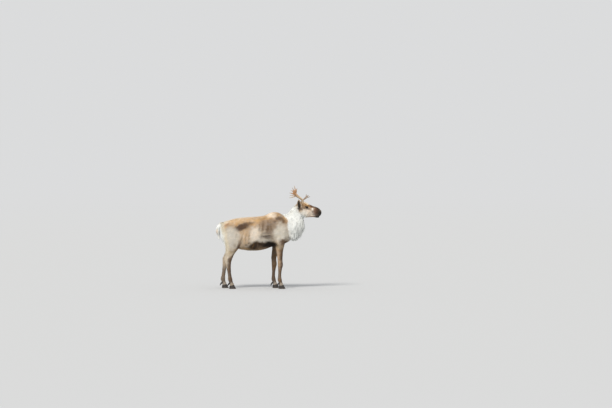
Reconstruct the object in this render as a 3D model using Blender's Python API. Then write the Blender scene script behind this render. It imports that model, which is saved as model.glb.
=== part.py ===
"""A reindeer cow in her pale late-winter coat, standing at rest, life size.

The model stands on the floor at Z = 0 and faces +X, with +Z up and her left side at +Y. All sizes are
metres. The body is laid out as slices through the trunk, neck and head and as stations down each leg.
They are fused into one skin, which is then parted with thin cuts into the pieces that a person would
name. Eyes, ears, antlers, tail, claws and dewclaws are made on their own and fitted to the skin.
"""

import math
import random
from collections import namedtuple

import bmesh
import bpy
import numpy as np
from mathutils import Matrix, Vector

# Driving dimensions
GAP = 0.0003
BODY_VOXEL = 0.0065
BODY_TRIANGLES = 3750
HEAD_VOXEL = 0.0034
HEAD_TRIANGLES = 1950
ANTLER_VOXEL = 0.0026
ANTLER_TRIANGLES = 480
FINENESS = 0.00012
RING_SIDES = 28
EYE = Vector((0.556, 0.0565, 1.198))
EYE_RADIUS = 0.0175
LID_THICKNESS = 0.0045
CORONET_HEIGHT = 0.052
CORONET_SLOPE = 0.24

# A slice across the animal: where it meets the top and the bottom of the side outline, its half
# width, how far up it is widest (0 at the bottom, 1 at the top), and how square it is (2 is round)
Slice = namedtuple("Slice", "top low half_width widest square")

TRUNK = (
    Slice((-0.712, 0.900), (-0.704, 0.790), 0.050, 0.55, 2.0),
    Slice((-0.690, 0.945), (-0.686, 0.715), 0.100, 0.55, 2.1),
    Slice((-0.630, 0.988), (-0.634, 0.650), 0.142, 0.55, 2.2),
    Slice((-0.516, 1.025), (-0.516, 0.600), 0.172, 0.52, 2.2),
    Slice((-0.400, 1.043), (-0.400, 0.572), 0.192, 0.48, 2.2),
    Slice((-0.279, 1.051), (-0.279, 0.556), 0.212, 0.45, 2.2),
    Slice((-0.150, 1.060), (-0.150, 0.560), 0.218, 0.45, 2.2),
    Slice((-0.060, 1.076), (-0.060, 0.578), 0.212, 0.45, 2.2),
    Slice((0.010, 1.110), (0.010, 0.602), 0.198, 0.44, 2.1),
    Slice((0.069, 1.125), (0.069, 0.622), 0.184, 0.43, 2.0),
    Slice((0.134, 1.117), (0.150, 0.640), 0.172, 0.43, 2.0),
    Slice((0.190, 1.098), (0.230, 0.662), 0.156, 0.42, 2.0),
    Slice((0.250, 1.060), (0.305, 0.700), 0.132, 0.42, 2.0),
    Slice((0.290, 0.990), (0.355, 0.765), 0.095, 0.45, 2.0),
)
NECK = (
    Slice((0.190, 1.066), (0.290, 0.722), 0.136, 0.45, 2.0),
    Slice((0.258, 1.090), (0.372, 0.770), 0.120, 0.46, 2.0),
    Slice((0.300, 1.126), (0.428, 0.855), 0.103, 0.47, 2.0),
    Slice((0.345, 1.178), (0.463, 0.930), 0.090, 0.48, 2.1),
    Slice((0.388, 1.231), (0.490, 0.992), 0.080, 0.50, 2.1),
    Slice((0.428, 1.266), (0.513, 1.030), 0.073, 0.50, 2.1),
    Slice((0.462, 1.272), (0.532, 1.052), 0.066, 0.50, 2.1),
)
HEAD = (
    Slice((0.436, 1.246), (0.492, 1.090), 0.052, 0.60, 2.2),
    Slice((0.456, 1.276), (0.507, 1.060), 0.066, 0.60, 2.2),
    Slice((0.487, 1.289), (0.530, 1.043), 0.073, 0.62, 2.3),
    Slice((0.522, 1.277), (0.560, 1.042), 0.075, 0.66, 2.3),
    Slice((0.566, 1.255), (0.592, 1.050), 0.070, 0.66, 2.3),
    Slice((0.610, 1.231), (0.622, 1.060), 0.057, 0.60, 2.3),
    Slice((0.652, 1.212), (0.652, 1.066), 0.048, 0.54, 2.4),
    Slice((0.693, 1.199), (0.684, 1.067), 0.045, 0.48, 2.5),
    Slice((0.725, 1.186), (0.712, 1.065), 0.047, 0.45, 2.5),
    Slice((0.749, 1.165), (0.736, 1.064), 0.045, 0.45, 2.4),
    Slice((0.766, 1.138), (0.752, 1.070), 0.036, 0.50, 2.2),
    Slice((0.774, 1.112), (0.764, 1.086), 0.018, 0.50, 2.0),
)
JAW = (
    Slice((0.540, 1.130), (0.556, 1.044), 0.046, 0.55, 2.0),
    Slice((0.600, 1.110), (0.606, 1.049), 0.040, 0.55, 2.0),
    Slice((0.650, 1.088), (0.655, 1.048), 0.031, 0.55, 2.1),
    Slice((0.695, 1.078), (0.695, 1.041), 0.028, 0.55, 2.2),
    Slice((0.724, 1.074), (0.721, 1.040), 0.027, 0.55, 2.2),
    Slice((0.742, 1.068), (0.739, 1.049), 0.017, 0.55, 2.0),
)
# The line of the mouth from the front of the lips back to its corner, and its width and depth
MOUTH_LINE = ((0.800, 1.072), (0.740, 1.065), (0.690, 1.067), (0.632, 1.062))
MOUTH_WIDTH = 0.0036
MOUTH_DEPTH = 0.009

# A station down a leg: centre, half size along the animal and half size across it
Station = namedtuple("Station", "x y z along across")

FORE_LEG = (
    Station(0.120, 0.100, 0.930, 0.065, 0.035),
    Station(0.150, 0.108, 0.830, 0.092, 0.050),
    Station(0.162, 0.110, 0.740, 0.092, 0.056),
    Station(0.158, 0.108, 0.660, 0.076, 0.054),
    Station(0.157, 0.105, 0.570, 0.054, 0.045),
    Station(0.160, 0.103, 0.480, 0.042, 0.038),
    Station(0.164, 0.101, 0.405, 0.036, 0.034),
    Station(0.168, 0.100, 0.350, 0.038, 0.036),
    Station(0.163, 0.100, 0.300, 0.030, 0.029),
    Station(0.158, 0.100, 0.220, 0.025, 0.024),
    Station(0.156, 0.100, 0.165, 0.027, 0.027),
    Station(0.158, 0.100, 0.130, 0.033, 0.032),
    Station(0.168, 0.100, 0.095, 0.029, 0.031),
    Station(0.178, 0.100, 0.070, 0.032, 0.036),
    Station(0.184, 0.100, 0.040, 0.034, 0.039),
)
HIND_LEG = (
    Station(-0.520, 0.080, 0.930, 0.110, 0.050),
    Station(-0.532, 0.096, 0.840, 0.138, 0.072),
    Station(-0.532, 0.104, 0.750, 0.142, 0.080),
    Station(-0.520, 0.108, 0.665, 0.130, 0.073),
    Station(-0.540, 0.108, 0.590, 0.094, 0.056),
    Station(-0.566, 0.106, 0.530, 0.072, 0.045),
    Station(-0.588, 0.104, 0.480, 0.064, 0.038),
    Station(-0.600, 0.103, 0.440, 0.058, 0.037),
    Station(-0.602, 0.102, 0.395, 0.045, 0.033),
    Station(-0.597, 0.102, 0.320, 0.033, 0.028),
    Station(-0.588, 0.102, 0.230, 0.028, 0.025),
    Station(-0.582, 0.102, 0.175, 0.029, 0.028),
    Station(-0.578, 0.102, 0.138, 0.035, 0.033),
    Station(-0.568, 0.102, 0.100, 0.030, 0.032),
    Station(-0.556, 0.102, 0.072, 0.033, 0.036),
    Station(-0.550, 0.102, 0.040, 0.035, 0.039),
)
# Where each leg stands: how far forward of its stations its foot is, between which heights it
# swings there, the lines in the side view in front of and behind the piece that is named as the
# leg, the height of that piece's arched top, and where the knee or hock parts upper leg from lower
Leg = namedtuple("Leg", "name side stations step swing front back top joint joint_slope")
LEGS = (
    Leg("foreleg_right", -1, FORE_LEG, 0.000, (0.80, 0.45), ((0.258, 0.80), (0.262, 0.30)),
        ((0.056, 0.80), (0.050, 0.30)), 0.800, (0.166, 0.352), 0.00),
    Leg("foreleg_left", 1, FORE_LEG, -0.092, (0.80, 0.45), ((0.256, 0.80), (0.246, 0.30)),
        ((0.040, 0.80), (-0.045, 0.30)), 0.800, (0.074, 0.352), 0.06),
    Leg("hindleg_right", -1, HIND_LEG, 0.008, (0.55, 0.13), ((-0.376, 0.80), (-0.415, 0.40)),
        ((-0.800, 0.80), (-0.800, 0.30)), 0.880, (-0.600, 0.424), 0.30),
    Leg("hindleg_left", 1, HIND_LEG, -0.105, (0.55, 0.13), ((-0.376, 0.80), (-0.425, 0.40)),
        ((-0.800, 0.80), (-0.860, 0.30)), 0.880, (-0.630, 0.424), 0.34),
)

# Muscle and bone that stand out under the coat: centre, radii and pitch about the Y axis in degrees
Swelling = namedtuple("Swelling", "centre radii pitch")
BODY_SWELLINGS = (
    Swelling((0.110, 0.096, 0.900), (0.085, 0.056, 0.165), 14),
    Swelling((0.205, 0.078, 0.790), (0.075, 0.060, 0.090), 0),
    Swelling((-0.540, 0.088, 0.860), (0.128, 0.074, 0.124), -20),
)
HEAD_SWELLINGS = (
    Swelling((0.556, 0.042, 1.118), (0.050, 0.024, 0.044), 26),
    Swelling((0.552, 0.056, 1.226), (0.034, 0.019, 0.012), 24),
    Swelling((0.602, 0.047, 1.172), (0.046, 0.010, 0.010), 22),
    Swelling((0.746, 0.027, 1.132), (0.026, 0.018, 0.026), 30),
    Swelling((0.722, 0.026, 1.084), (0.036, 0.019, 0.017), 6),
)
NOSTRIL = Swelling((0.768, 0.0375, 1.124), (0.0115, 0.0070, 0.0065), 52)

# Locks of long hair: three-sided, with this share of their breadth along their length
LOCK_TAPER = ((0.0, 0.70), (0.28, 1.0), (0.62, 0.80), (1.0, 0.10))
LOCK_SINK = 0.010
LOCK_RIDGE = 0.26
# The throat mane: its rows from chest to throat, along the neck's slices, and around each row
MANE_ROWS = 8
MANE_SPAN = (0.55, 4.85)
MANE_LOCKS = 8
MANE_REACH = 100.0
MANE_LENGTH = (0.110, 0.145)
MANE_RISE = (0.060, 0.014)
MANE_WIDTH = 0.040
MANE_DROOP = 0.012
# No lock of the mane hangs lower than this
MANE_FOOT = 0.689
# The tail's locks: rows down its length and locks round each, over a core of this share of its
# size, with the share of the tail's length that a lock covers
TAIL_ROWS = 4
TAIL_LOCKS = 4
TAIL_CORE = 0.55
TAIL_LOCK_REACH = 0.34
TAIL_LENGTH = 0.20
TAIL_LOCK_WIDTH = 0.034

# The tail: the middle of its side view, half its thickness and half its width
TAIL = (
    (-0.660, 0.935, 0.022, 0.030),
    (-0.708, 0.931, 0.028, 0.038),
    (-0.739, 0.900, 0.030, 0.041),
    (-0.748, 0.850, 0.028, 0.037),
    (-0.745, 0.805, 0.020, 0.026),
    (-0.740, 0.776, 0.004, 0.006),
)

# The ear: where it leaves the skull, its tip, the way its cup faces, and along its length the half
# width and the depth of the cup
EAR_BASE = Vector((0.458, 0.050, 1.196))
EAR_TIP = Vector((0.436, 0.122, 1.302))
EAR_FACING = Vector((0.60, 0.75, -0.30))
EAR_SHELL = 0.0042
EAR_PROFILE = (
    (0.00, 0.016, 0.015),
    (0.15, 0.020, 0.018),
    (0.32, 0.026, 0.019),
    (0.52, 0.029, 0.016),
    (0.72, 0.025, 0.011),
    (0.88, 0.016, 0.006),
    (1.00, 0.005, 0.002),
)

# An antler's tines: the piece each belongs to, then points with the tine's radius there
Tine = namedtuple("Tine", "piece points")
TINES = (
    Tine("beam", ((0.500, 0.036, 1.255, 0.014), (0.492, 0.041, 1.290, 0.0135),
                  (0.466, 0.058, 1.320, 0.0115), (0.425, 0.084, 1.346, 0.0100),
                  (0.388, 0.112, 1.372, 0.0110), (0.370, 0.130, 1.402, 0.0120),
                  (0.364, 0.142, 1.440, 0.0090), (0.346, 0.152, 1.487, 0.0035))),
    Tine("brow", ((0.492, 0.041, 1.298, 0.0100), (0.520, 0.044, 1.325, 0.0085),
                  (0.545, 0.046, 1.352, 0.0078), (0.548, 0.048, 1.388, 0.0030))),
    Tine("brow", ((0.542, 0.046, 1.350, 0.0070), (0.566, 0.052, 1.361, 0.0055),
                  (0.586, 0.056, 1.374, 0.0028))),
    Tine("crown", ((0.372, 0.130, 1.404, 0.0095), (0.384, 0.140, 1.430, 0.0075),
                   (0.392, 0.148, 1.458, 0.0032))),
    Tine("crown", ((0.374, 0.126, 1.394, 0.0095), (0.340, 0.146, 1.404, 0.0070),
                   (0.304, 0.160, 1.414, 0.0030))),
    Tine("crown", ((0.396, 0.106, 1.366, 0.0085), (0.350, 0.124, 1.350, 0.0062),
                   (0.298, 0.136, 1.338, 0.0028))),
)
ANTLER_PALM = Swelling((0.372, 0.133, 1.408), (0.022, 0.0065, 0.030), -10)
ANTLER_BASE = Vector((0.493, 0.040, 1.287))
BURR_SIZE = (0.017, 0.008)
# How far each antler leans from those points about its base, in degrees: its beam and its brow tine
ANTLER_LEAN = {"right": (0.0, 0.0), "left": (7.0, 13.0)}
BROW_CUT = ((0.508, 1.312), (0.72, 0.69))
CROWN_CUT = ((0.400, 1.364), (-0.72, 0.69))

# A claw: heel and toe measured from the middle of the coronet, its outer edge, and the cleft
CLAW_HEEL = -0.042
CLAW_TOE = 0.060
CLAW_OUTER = 0.047
CLEFT = 0.0020
CLAW_SPLAY = 0.11
# A dewclaw's points: how far behind the middle of the coronet, height and radius
DEWCLAW = ((-0.008, 0.100, 0.010), (-0.038, 0.084, 0.013), (-0.059, 0.061, 0.010), (-0.070, 0.040, 0.004))
DEWCLAW_SPREAD = 0.020

random.seed(5)


# Clear the scene that Blender opens with
for startup_object in list(bpy.data.objects):
    bpy.data.objects.remove(startup_object)


def material(name, colour, roughness, metallic=0.0):
    """A plain surface of one colour."""
    made = bpy.data.materials.new(name)
    made.use_nodes = True
    shader = made.node_tree.nodes["Principled BSDF"]
    shader.inputs["Base Color"].default_value = (*colour, 1.0)
    shader.inputs["Roughness"].default_value = roughness
    shader.inputs["Metallic"].default_value = metallic
    made.diffuse_color = (*colour, 1.0)
    return made


WINTER_COAT = material("winter_coat", (0.52, 0.42, 0.32), 0.9)
WHITE_COAT = material("white_coat", (0.80, 0.78, 0.72), 0.9)
FACE_COAT = material("face_coat", (0.42, 0.29, 0.19), 0.9)
LEG_COAT = material("leg_coat", (0.22, 0.16, 0.11), 0.9)
HOOF_HORN = material("hoof_horn", (0.04, 0.035, 0.03), 0.45)
ANTLER_BONE = material("antler_bone", (0.50, 0.33, 0.20), 0.6)
EYE_GLOSS = material("eye_gloss", (0.02, 0.012, 0.008), 0.08)


def mesh_object(name, vertices=(), faces=()):
    """A named mesh object in the scene, from its points and faces."""
    mesh = bpy.data.meshes.new(name)
    mesh.from_pydata([tuple(v) for v in vertices], [], faces)
    made = bpy.data.objects.new(name, mesh)
    bpy.context.scene.collection.objects.link(made)
    return made


def remove(*objects):
    for gone in objects:
        bpy.data.objects.remove(gone)


def copy_of(made):
    double = made.copy()
    double.data = made.data.copy()
    bpy.context.scene.collection.objects.link(double)
    return double


def settle(made):
    """Turn an object's modifiers into its own mesh."""
    bpy.context.view_layer.update()
    graph = bpy.context.evaluated_depsgraph_get()
    finished = bpy.data.meshes.new_from_object(made.evaluated_get(graph))
    made.modifiers.clear()
    made.vertex_groups.clear()
    made.data = finished
    return made


def smooth_rows(rows, per_span):
    """More rows between these rows of numbers, on a curve through them that doesn't overshoot."""
    rows = np.array(rows, float)
    steps = np.linalg.norm(np.diff(rows[:, :3], axis=0), axis=1)
    slopes = np.diff(rows, axis=0) / steps[:, None]
    tangents = np.vstack([slopes[:1], (slopes[:-1] + slopes[1:]) / 2, slopes[-1:]])
    turning = slopes[:-1] * slopes[1:] <= 0
    tangents[1:-1][turning] = 0
    made = []
    for i, step in enumerate(steps):
        for t in np.arange(per_span) / per_span:
            made.append(
                (2 * t**3 - 3 * t**2 + 1) * rows[i]
                + (t**3 - 2 * t**2 + t) * step * tangents[i]
                + (3 * t**2 - 2 * t**3) * rows[i + 1]
                + (t**3 - t**2) * step * tangents[i + 1]
            )
    return [row.tolist() for row in made + [rows[-1]]]


def face_outward(made):
    body = bmesh.new()
    body.from_mesh(made.data)
    bmesh.ops.recalc_face_normals(body, faces=body.faces)
    body.to_mesh(made.data)
    body.free()


def loft(name, rings):
    """A closed body through rings of as many points each, capped at both ends."""
    sides = len(rings[0])
    vertices = [point for ring in rings for point in ring]
    faces = []
    for start in range(0, (len(rings) - 1) * sides, sides):
        for i in range(sides):
            j = (i + 1) % sides
            faces.append((start + i, start + j, start + sides + j))
            faces.append((start + i, start + sides + j, start + sides + i))
    faces.append(tuple(reversed(range(sides))))
    faces.append(tuple(range(len(vertices) - sides, len(vertices))))
    made = mesh_object(name, vertices, faces)
    face_outward(made)
    return made


def slice_point(row, turn):
    """The point of a slice's outline at an angle up from its left side."""
    top_x, top_z, low_x, low_z, half_width, widest, square = row
    power = 2 / square
    across, up = math.cos(turn), math.sin(turn)
    rise = abs(up) ** power
    height = widest + (1 - widest) * rise if up > 0 else widest * (1 - rise)
    y = half_width * math.copysign(abs(across) ** power, across)
    return (low_x + (top_x - low_x) * height, y, low_z + (top_z - low_z) * height)


def slice_ring(row):
    return [slice_point(row, 2 * math.pi * i / RING_SIDES) for i in range(RING_SIDES)]


def slice_rows(slices, per_span=4):
    rows = [(*s.top, *s.low, s.half_width, s.widest, s.square) for s in slices]
    return smooth_rows(rows, per_span)


def sagittal_body(name, slices):
    return loft(name, [slice_ring(row) for row in slice_rows(slices)])


def leg_shift(leg, z):
    """How far forward this leg stands at a height: nothing at its root, its full step at the foot."""
    start, end = leg.swing
    return leg.step * min(1.0, max(0.0, (start - z) / (start - end)))


def leg_body(leg):
    rings = []
    for x, y, z, along, across in smooth_rows(leg.stations, 4):
        x += leg_shift(leg, z)
        turns = [2 * math.pi * i / RING_SIDES for i in range(RING_SIDES)]
        rings.append(
            [(x + along * math.cos(t), leg.side * y + across * math.sin(t), z) for t in turns]
        )
    return loft(leg.name, rings)


def ball(name, radius, centre=(0, 0, 0), subdivisions=3):
    body = bmesh.new()
    bmesh.ops.create_icosphere(body, subdivisions=subdivisions, radius=radius)
    body.transform(Matrix.Translation(centre))
    made = mesh_object(name)
    body.to_mesh(made.data)
    body.free()
    return made


def swelling_body(swelling, side, subdivisions=3):
    x, y, z = swelling.centre
    made = ball("swelling", 1.0, subdivisions=subdivisions)
    made.data.transform(
        Matrix.Translation((x, side * y, z))
        @ Matrix.Rotation(math.radians(swelling.pitch), 4, "Y")
        @ Matrix.Diagonal((*swelling.radii, 1.0))
    )
    return made


def fuse(name, pieces, voxel):
    """One closed skin over overlapping closed pieces, which are used up."""
    body = bmesh.new()
    for piece in pieces:
        body.from_mesh(piece.data)
    made = mesh_object(name)
    body.to_mesh(made.data)
    body.free()
    remove(*pieces)
    remesh = made.modifiers.new("fuse", "REMESH")
    remesh.mode = "VOXEL"
    remesh.voxel_size = voxel
    return settle(made)


def weigh(made, weight_of):
    """A vertex group with a weight from 0 to 1 at each point, in steps of a twentieth."""
    group = made.vertex_groups.new(name="weight")
    levels = {}
    for vertex in made.data.vertices:
        levels.setdefault(round(20 * weight_of(vertex.co)), []).append(vertex.index)
    for level, members in levels.items():
        group.add(members, level / 20, "REPLACE")
    return group.name


def smooth(made, weight_of, rounds):
    """Even out a skin, by a weight from 0 to 1 at each point."""
    smoothing = made.modifiers.new("smooth", "SMOOTH")
    smoothing.factor = 0.5
    smoothing.iterations = rounds
    smoothing.vertex_group = weigh(made, weight_of)
    return settle(made)


def thin_out(made, triangles, fine=None):
    """Fewer triangles, keeping more of them where fine gives a point a high weight."""
    reduce = made.modifiers.new("thin_out", "DECIMATE")
    reduce.ratio = triangles / (2 * len(made.data.polygons))
    if fine:
        reduce.vertex_group = weigh(made, lambda point: 1 - 0.9 * fine(point))
        reduce.vertex_group_factor = FINENESS
    return settle(made)


def grown(made, amount):
    """A copy of a body with its surface moved outward, to cut a fitted piece with."""
    swollen = copy_of(made)
    displace = swollen.modifiers.new("grow", "DISPLACE")
    displace.strength = amount
    displace.mid_level = 0.0
    return settle(swollen)


def combine(made, operation, other):
    """Join to a body, cut from it or keep in common with it another one, which is used up."""
    step = made.modifiers.new("combine", "BOOLEAN")
    step.operation = operation
    step.object = other
    settle(made)
    remove(other)
    return made


def cut_away(made, point, normal):
    """Drop what lies beyond a plane and close the cut."""
    body = bmesh.new()
    body.from_mesh(made.data)
    every_part = body.verts[:] + body.edges[:] + body.faces[:]
    bmesh.ops.bisect_plane(body, geom=every_part, plane_co=point, plane_no=normal, clear_outer=True)
    open_edges = [edge for edge in body.edges if edge.is_boundary]
    bmesh.ops.holes_fill(body, edges=open_edges)
    body.to_mesh(made.data)
    body.free()
    return made


def keep_largest(made):
    """Keep only the closed surface that holds the most, in plain triangles."""
    body = bmesh.new()
    body.from_mesh(made.data)
    bmesh.ops.triangulate(body, faces=body.faces)
    bmesh.ops.dissolve_degenerate(body, dist=2e-5, edges=body.edges)
    bmesh.ops.triangulate(body, faces=body.faces)
    waiting = set(body.faces)
    groups = []
    while waiting:
        group = []
        front = [waiting.pop()]
        while front:
            face = front.pop()
            group.append(face)
            for edge in face.edges:
                for near in edge.link_faces:
                    if near in waiting:
                        waiting.remove(near)
                        front.append(near)
        groups.append(group)

    def content(group):
        corners = [[vertex.co for vertex in face.verts] for face in group]
        return sum(a.dot(b.cross(c)) for a, b, c in corners)

    groups.sort(key=content)
    scraps = [face for group in groups[:-1] for face in group]
    bmesh.ops.delete(body, geom=scraps, context="FACES")
    body.to_mesh(made.data)
    body.free()
    return made


def finish(made, name, surface):
    """Name a node, keep it one closed body, give it its material and shade it smooth."""
    keep_largest(made)
    made.name = name
    made.data.name = name
    made.data.materials.clear()
    made.data.materials.append(surface)
    made.data.shade_smooth()
    made.data.set_sharp_from_angle(angle=math.radians(50))
    return made


def block(planes, growth):
    """The block that lies inside all these planes, each moved outward: its point and its normal."""
    body = bmesh.new()
    bmesh.ops.create_cube(body, size=4.0)
    made = mesh_object("block")
    body.to_mesh(made.data)
    body.free()
    for point, normal in planes:
        outward = Vector(normal).normalized()
        cut_away(made, Vector(point) + growth * outward, outward)
    face_outward(made)
    return made


def ramp(value, low, high):
    """0 below low, 1 above high, and a smooth rise between them."""
    share = min(1.0, max(0.0, (value - low) / (high - low)))
    return share * share * (3 - 2 * share)


def line_normal(line, towards):
    """The side view's normal to a line of two points, turned to face along X."""
    (x1, z1), (x2, z2) = line
    normal = Vector((z1 - z2, 0, x2 - x1)).normalized()
    return normal if normal.x * towards > 0 else -normal


def at(side_view_point):
    return Vector((side_view_point[0], 0.0, side_view_point[1]))


# Where head meets neck and neck meets trunk: two points of each cut in the side view
HEAD_CUT = ((0.402, 1.250), (0.524, 1.000))
CHEST_CUT = ((0.262, 1.100), (0.292, 0.700))
HEAD_NORMAL = line_normal(HEAD_CUT, 1)
CHEST_NORMAL = line_normal(CHEST_CUT, 1)


def body_softness(point):
    """Smoothing weight: full where legs, trunk and neck flow together, little at the feet."""
    return 0.12 + 0.88 * ramp(point.z, 0.42, 0.60)


def foot_fineness(point):
    """More triangles down the legs, and most at the feet, where the small forms are."""
    foot = 1 - ramp(point.z, 0.20, 0.40)
    leg = 1 - ramp(point.z, 0.50, 0.62)
    return max(0.55 * foot, 0.25 * leg)


def muzzle_fineness(point):
    muzzle = ramp(point.x, 0.66, 0.72)
    eye = 1 - ramp((Vector((point.x, abs(point.y), point.z)) - EYE).length, 0.03, 0.05)
    skull = ramp(point.x, 0.40, 0.46)
    return max(0.35 * skull, 0.8 * muzzle, 0.7 * eye)


# The body's skin with its four legs
pieces = [
    sagittal_body("trunk", TRUNK),
    sagittal_body("neck_core", NECK),
    sagittal_body("skull", HEAD),
]
pieces += [leg_body(leg) for leg in LEGS]
pieces += [swelling_body(s, side) for s in BODY_SWELLINGS for side in (-1, 1)]
skin = fuse("skin", pieces, BODY_VOXEL)
smooth(skin, body_softness, 22)
cut_away(skin, at(HEAD_CUT[0]) + 0.04 * HEAD_NORMAL, HEAD_NORMAL)
thin_out(skin, BODY_TRIANGLES, foot_fineness)


def leg_block(leg, growth):
    """The space of one leg: between its lines in the side view, out from the belly, and arched."""
    front, back = line_normal(leg.front, 1), line_normal(leg.back, -1)
    front_corner = Vector((leg.front[0][0], 0, leg.top))
    back_corner = Vector((leg.back[0][0], 0, leg.top))
    arch = 0.045 if leg.stations is FORE_LEG else 0.10
    if leg.stations is HIND_LEG:
        back_corner.x = TRUNK[0].top[0]
    middle = (front_corner + back_corner) / 2
    planes = [
        (at(leg.front[0]), front),
        (at(leg.back[0]), back),
        (middle, (0, 0, 1)),
        (front_corner - Vector((arch, 0, 0)), (0.6, 0, 0.8)),
        (back_corner + Vector((arch, 0, 0)), (-0.6, 0, 0.8)),
        ((0, leg.side * 0.012, 0), (0, -leg.side, 0)),
        ((0, leg.side * 0.026, 0.56), (0, -leg.side, 0.30)),
    ]
    return block(planes, growth)


# Each leg in two pieces, parted at the knee or hock, and with its foot taken off at the coronet
torso = copy_of(skin)
lower_legs = {}
for leg in LEGS:
    whole = combine(copy_of(skin), "INTERSECT", leg_block(leg, -GAP / 2))
    keep_largest(whole)
    combine(torso, "DIFFERENCE", leg_block(leg, GAP / 2))
    joint = at(leg.joint)
    up = Vector((leg.joint_slope, 0, 1)).normalized()
    upper = cut_away(copy_of(whole), joint + up * GAP / 2, -up)
    finish(upper, leg.name.replace("_", "_upper_"), WINTER_COAT)
    lower = cut_away(whole, joint - up * GAP / 2, up)
    foot_x = leg.stations[-1].x + leg.step
    coronet_up = Vector((-CORONET_SLOPE, 0, 1)).normalized()
    coronet = Vector((foot_x, 0, CORONET_HEIGHT))
    cut_away(lower, coronet + coronet_up * GAP, -coronet_up)
    finish(lower, leg.name.replace("_", "_lower_"), LEG_COAT)
    lower_legs[leg.name] = lower

cut_away(torso, at(CHEST_CUT[0]) - CHEST_NORMAL * GAP / 2, CHEST_NORMAL)
finish(torso, "torso", WINTER_COAT)


def lock(root, outward, lie, length, rise, droop, width):
    """A flat, tapered lock from just under the skin, which bends along the lie of the coat."""
    across = lie.cross(outward).normalized()
    rings = []
    for share, breadth in LOCK_TAPER:
        lift = 1 - (1 - share) ** 2
        centre = root + outward * ((rise + LOCK_SINK) * lift - LOCK_SINK) + lie * length * share
        centre.z -= droop * share * share
        half = across * width * breadth / 2
        rings.append([centre - half, centre + outward * width * breadth * LOCK_RIDGE, centre + half])
    return loft("lock", rings)


def join_locks(made, locks):
    """Fuse locks into the node that they grow from by one Boolean union."""
    group = bpy.data.collections.new("locks")
    bpy.context.scene.collection.children.link(group)
    for piece in locks:
        group.objects.link(piece)
    union = made.modifiers.new("locks", "BOOLEAN")
    union.operation = "UNION"
    union.operand_type = "COLLECTION"
    union.collection = group
    settle(made)
    remove(*locks)
    bpy.data.collections.remove(group)
    return made


def mane_locks(core):
    """Rows of locks from the chest up to the throat, longest and most raised down the middle."""
    per_span = 8
    rows = slice_rows(NECK, per_span)
    made = []
    for i in range(MANE_ROWS):
        share = i / (MANE_ROWS - 1)
        place = MANE_SPAN[0] + (MANE_SPAN[1] - MANE_SPAN[0]) * share
        row = rows[round(place * per_span)]
        next_row = rows[round(place * per_span) - 2]
        for k in range(MANE_LOCKS):
            spread = (2 * (k + 0.5 * (i % 2)) / (MANE_LOCKS - 0.5) - 1) + random.uniform(-0.06, 0.06)
            turn = math.radians(-90 + MANE_REACH * spread)
            guess = Vector(slice_point(row, turn))
            down_neck = (Vector(slice_point(next_row, turn)) - guess).normalized()
            _, root, outward, _ = core.closest_point_on_mesh(guess)
            if (root - at(CHEST_CUT[0])).dot(CHEST_NORMAL) < MANE_WIDTH / 2:
                continue
            hang = 0.95 - 0.55 * share
            lie = (down_neck * (1 - hang) + Vector((0, 0, -1)) * hang).normalized()
            lie = (lie - outward * lie.dot(outward) * (0.9 * ramp(share, 0.0, 0.35))).normalized()
            middle = 1 - min(1.0, abs(spread)) ** 2
            length = MANE_LENGTH[0] + (MANE_LENGTH[1] - MANE_LENGTH[0]) * ramp(share, 0.0, 0.5)
            length *= (0.72 + 0.28 * middle) * random.uniform(0.88, 1.08)
            rise = MANE_RISE[1] + (MANE_RISE[0] - MANE_RISE[1]) * middle * ramp(share, -0.4, 0.5)
            rise *= random.uniform(0.75, 1.05)
            drop = root.z + outward.z * rise - MANE_DROOP - MANE_FOOT - random.uniform(0, 0.015)
            length = min(length, drop / -lie.z)
            width = MANE_WIDTH * random.uniform(0.85, 1.15)
            made.append(lock(root, outward, lie, length, rise, MANE_DROOP, width))
    return made


# The neck, between the head's cut and the chest's
throat_locks = mane_locks(skin)
neck = cut_away(skin, at(HEAD_CUT[0]) - HEAD_NORMAL * GAP / 2, HEAD_NORMAL)
cut_away(neck, at(CHEST_CUT[0]) + CHEST_NORMAL * GAP / 2, -CHEST_NORMAL)
keep_largest(neck)


def claw(leg, outward):
    """One of a foot's two hoof claws: a flat sole, a rounded wall and a nearly straight cleft."""
    foot_x = leg.stations[-1].x + leg.step
    foot_y = leg.side * leg.stations[-1].y
    sides = 12
    rings = []
    for z, inset in ((0.0, 0.002), (0.006, 0.0), (0.080, 0.003)):
        heel = CLAW_HEEL + inset + 0.06 * z
        toe = CLAW_TOE - inset - 0.50 * z
        middle, half = (heel + toe) / 2, (toe - heel) / 2
        outer = CLAW_OUTER - inset - 0.12 * z
        ring = []
        for i in range(sides):
            turn = 2 * math.pi * i / sides
            forward = math.cos(turn)
            x = middle + half * forward
            bow = abs(math.sin(turn)) ** (0.85 if forward < 0 else 1.05)
            hollow = 0.004 * bow * ramp(forward, -0.6, 0.8)
            y = CLEFT + ((outer - CLEFT) * bow if math.sin(turn) >= 0 else inset / 2 + hollow)
            splay = CLAW_SPLAY * max(0.0, x) * (1 - 6 * z)
            ring.append((foot_x + x, foot_y + outward * (y + splay), z))
        rings.append(ring)
    made = loft("claw", rings)
    coronet_up = Vector((-CORONET_SLOPE, 0, 1)).normalized()
    coronet = Vector((foot_x, 0, CORONET_HEIGHT))
    return cut_away(made, coronet, coronet_up)


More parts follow.
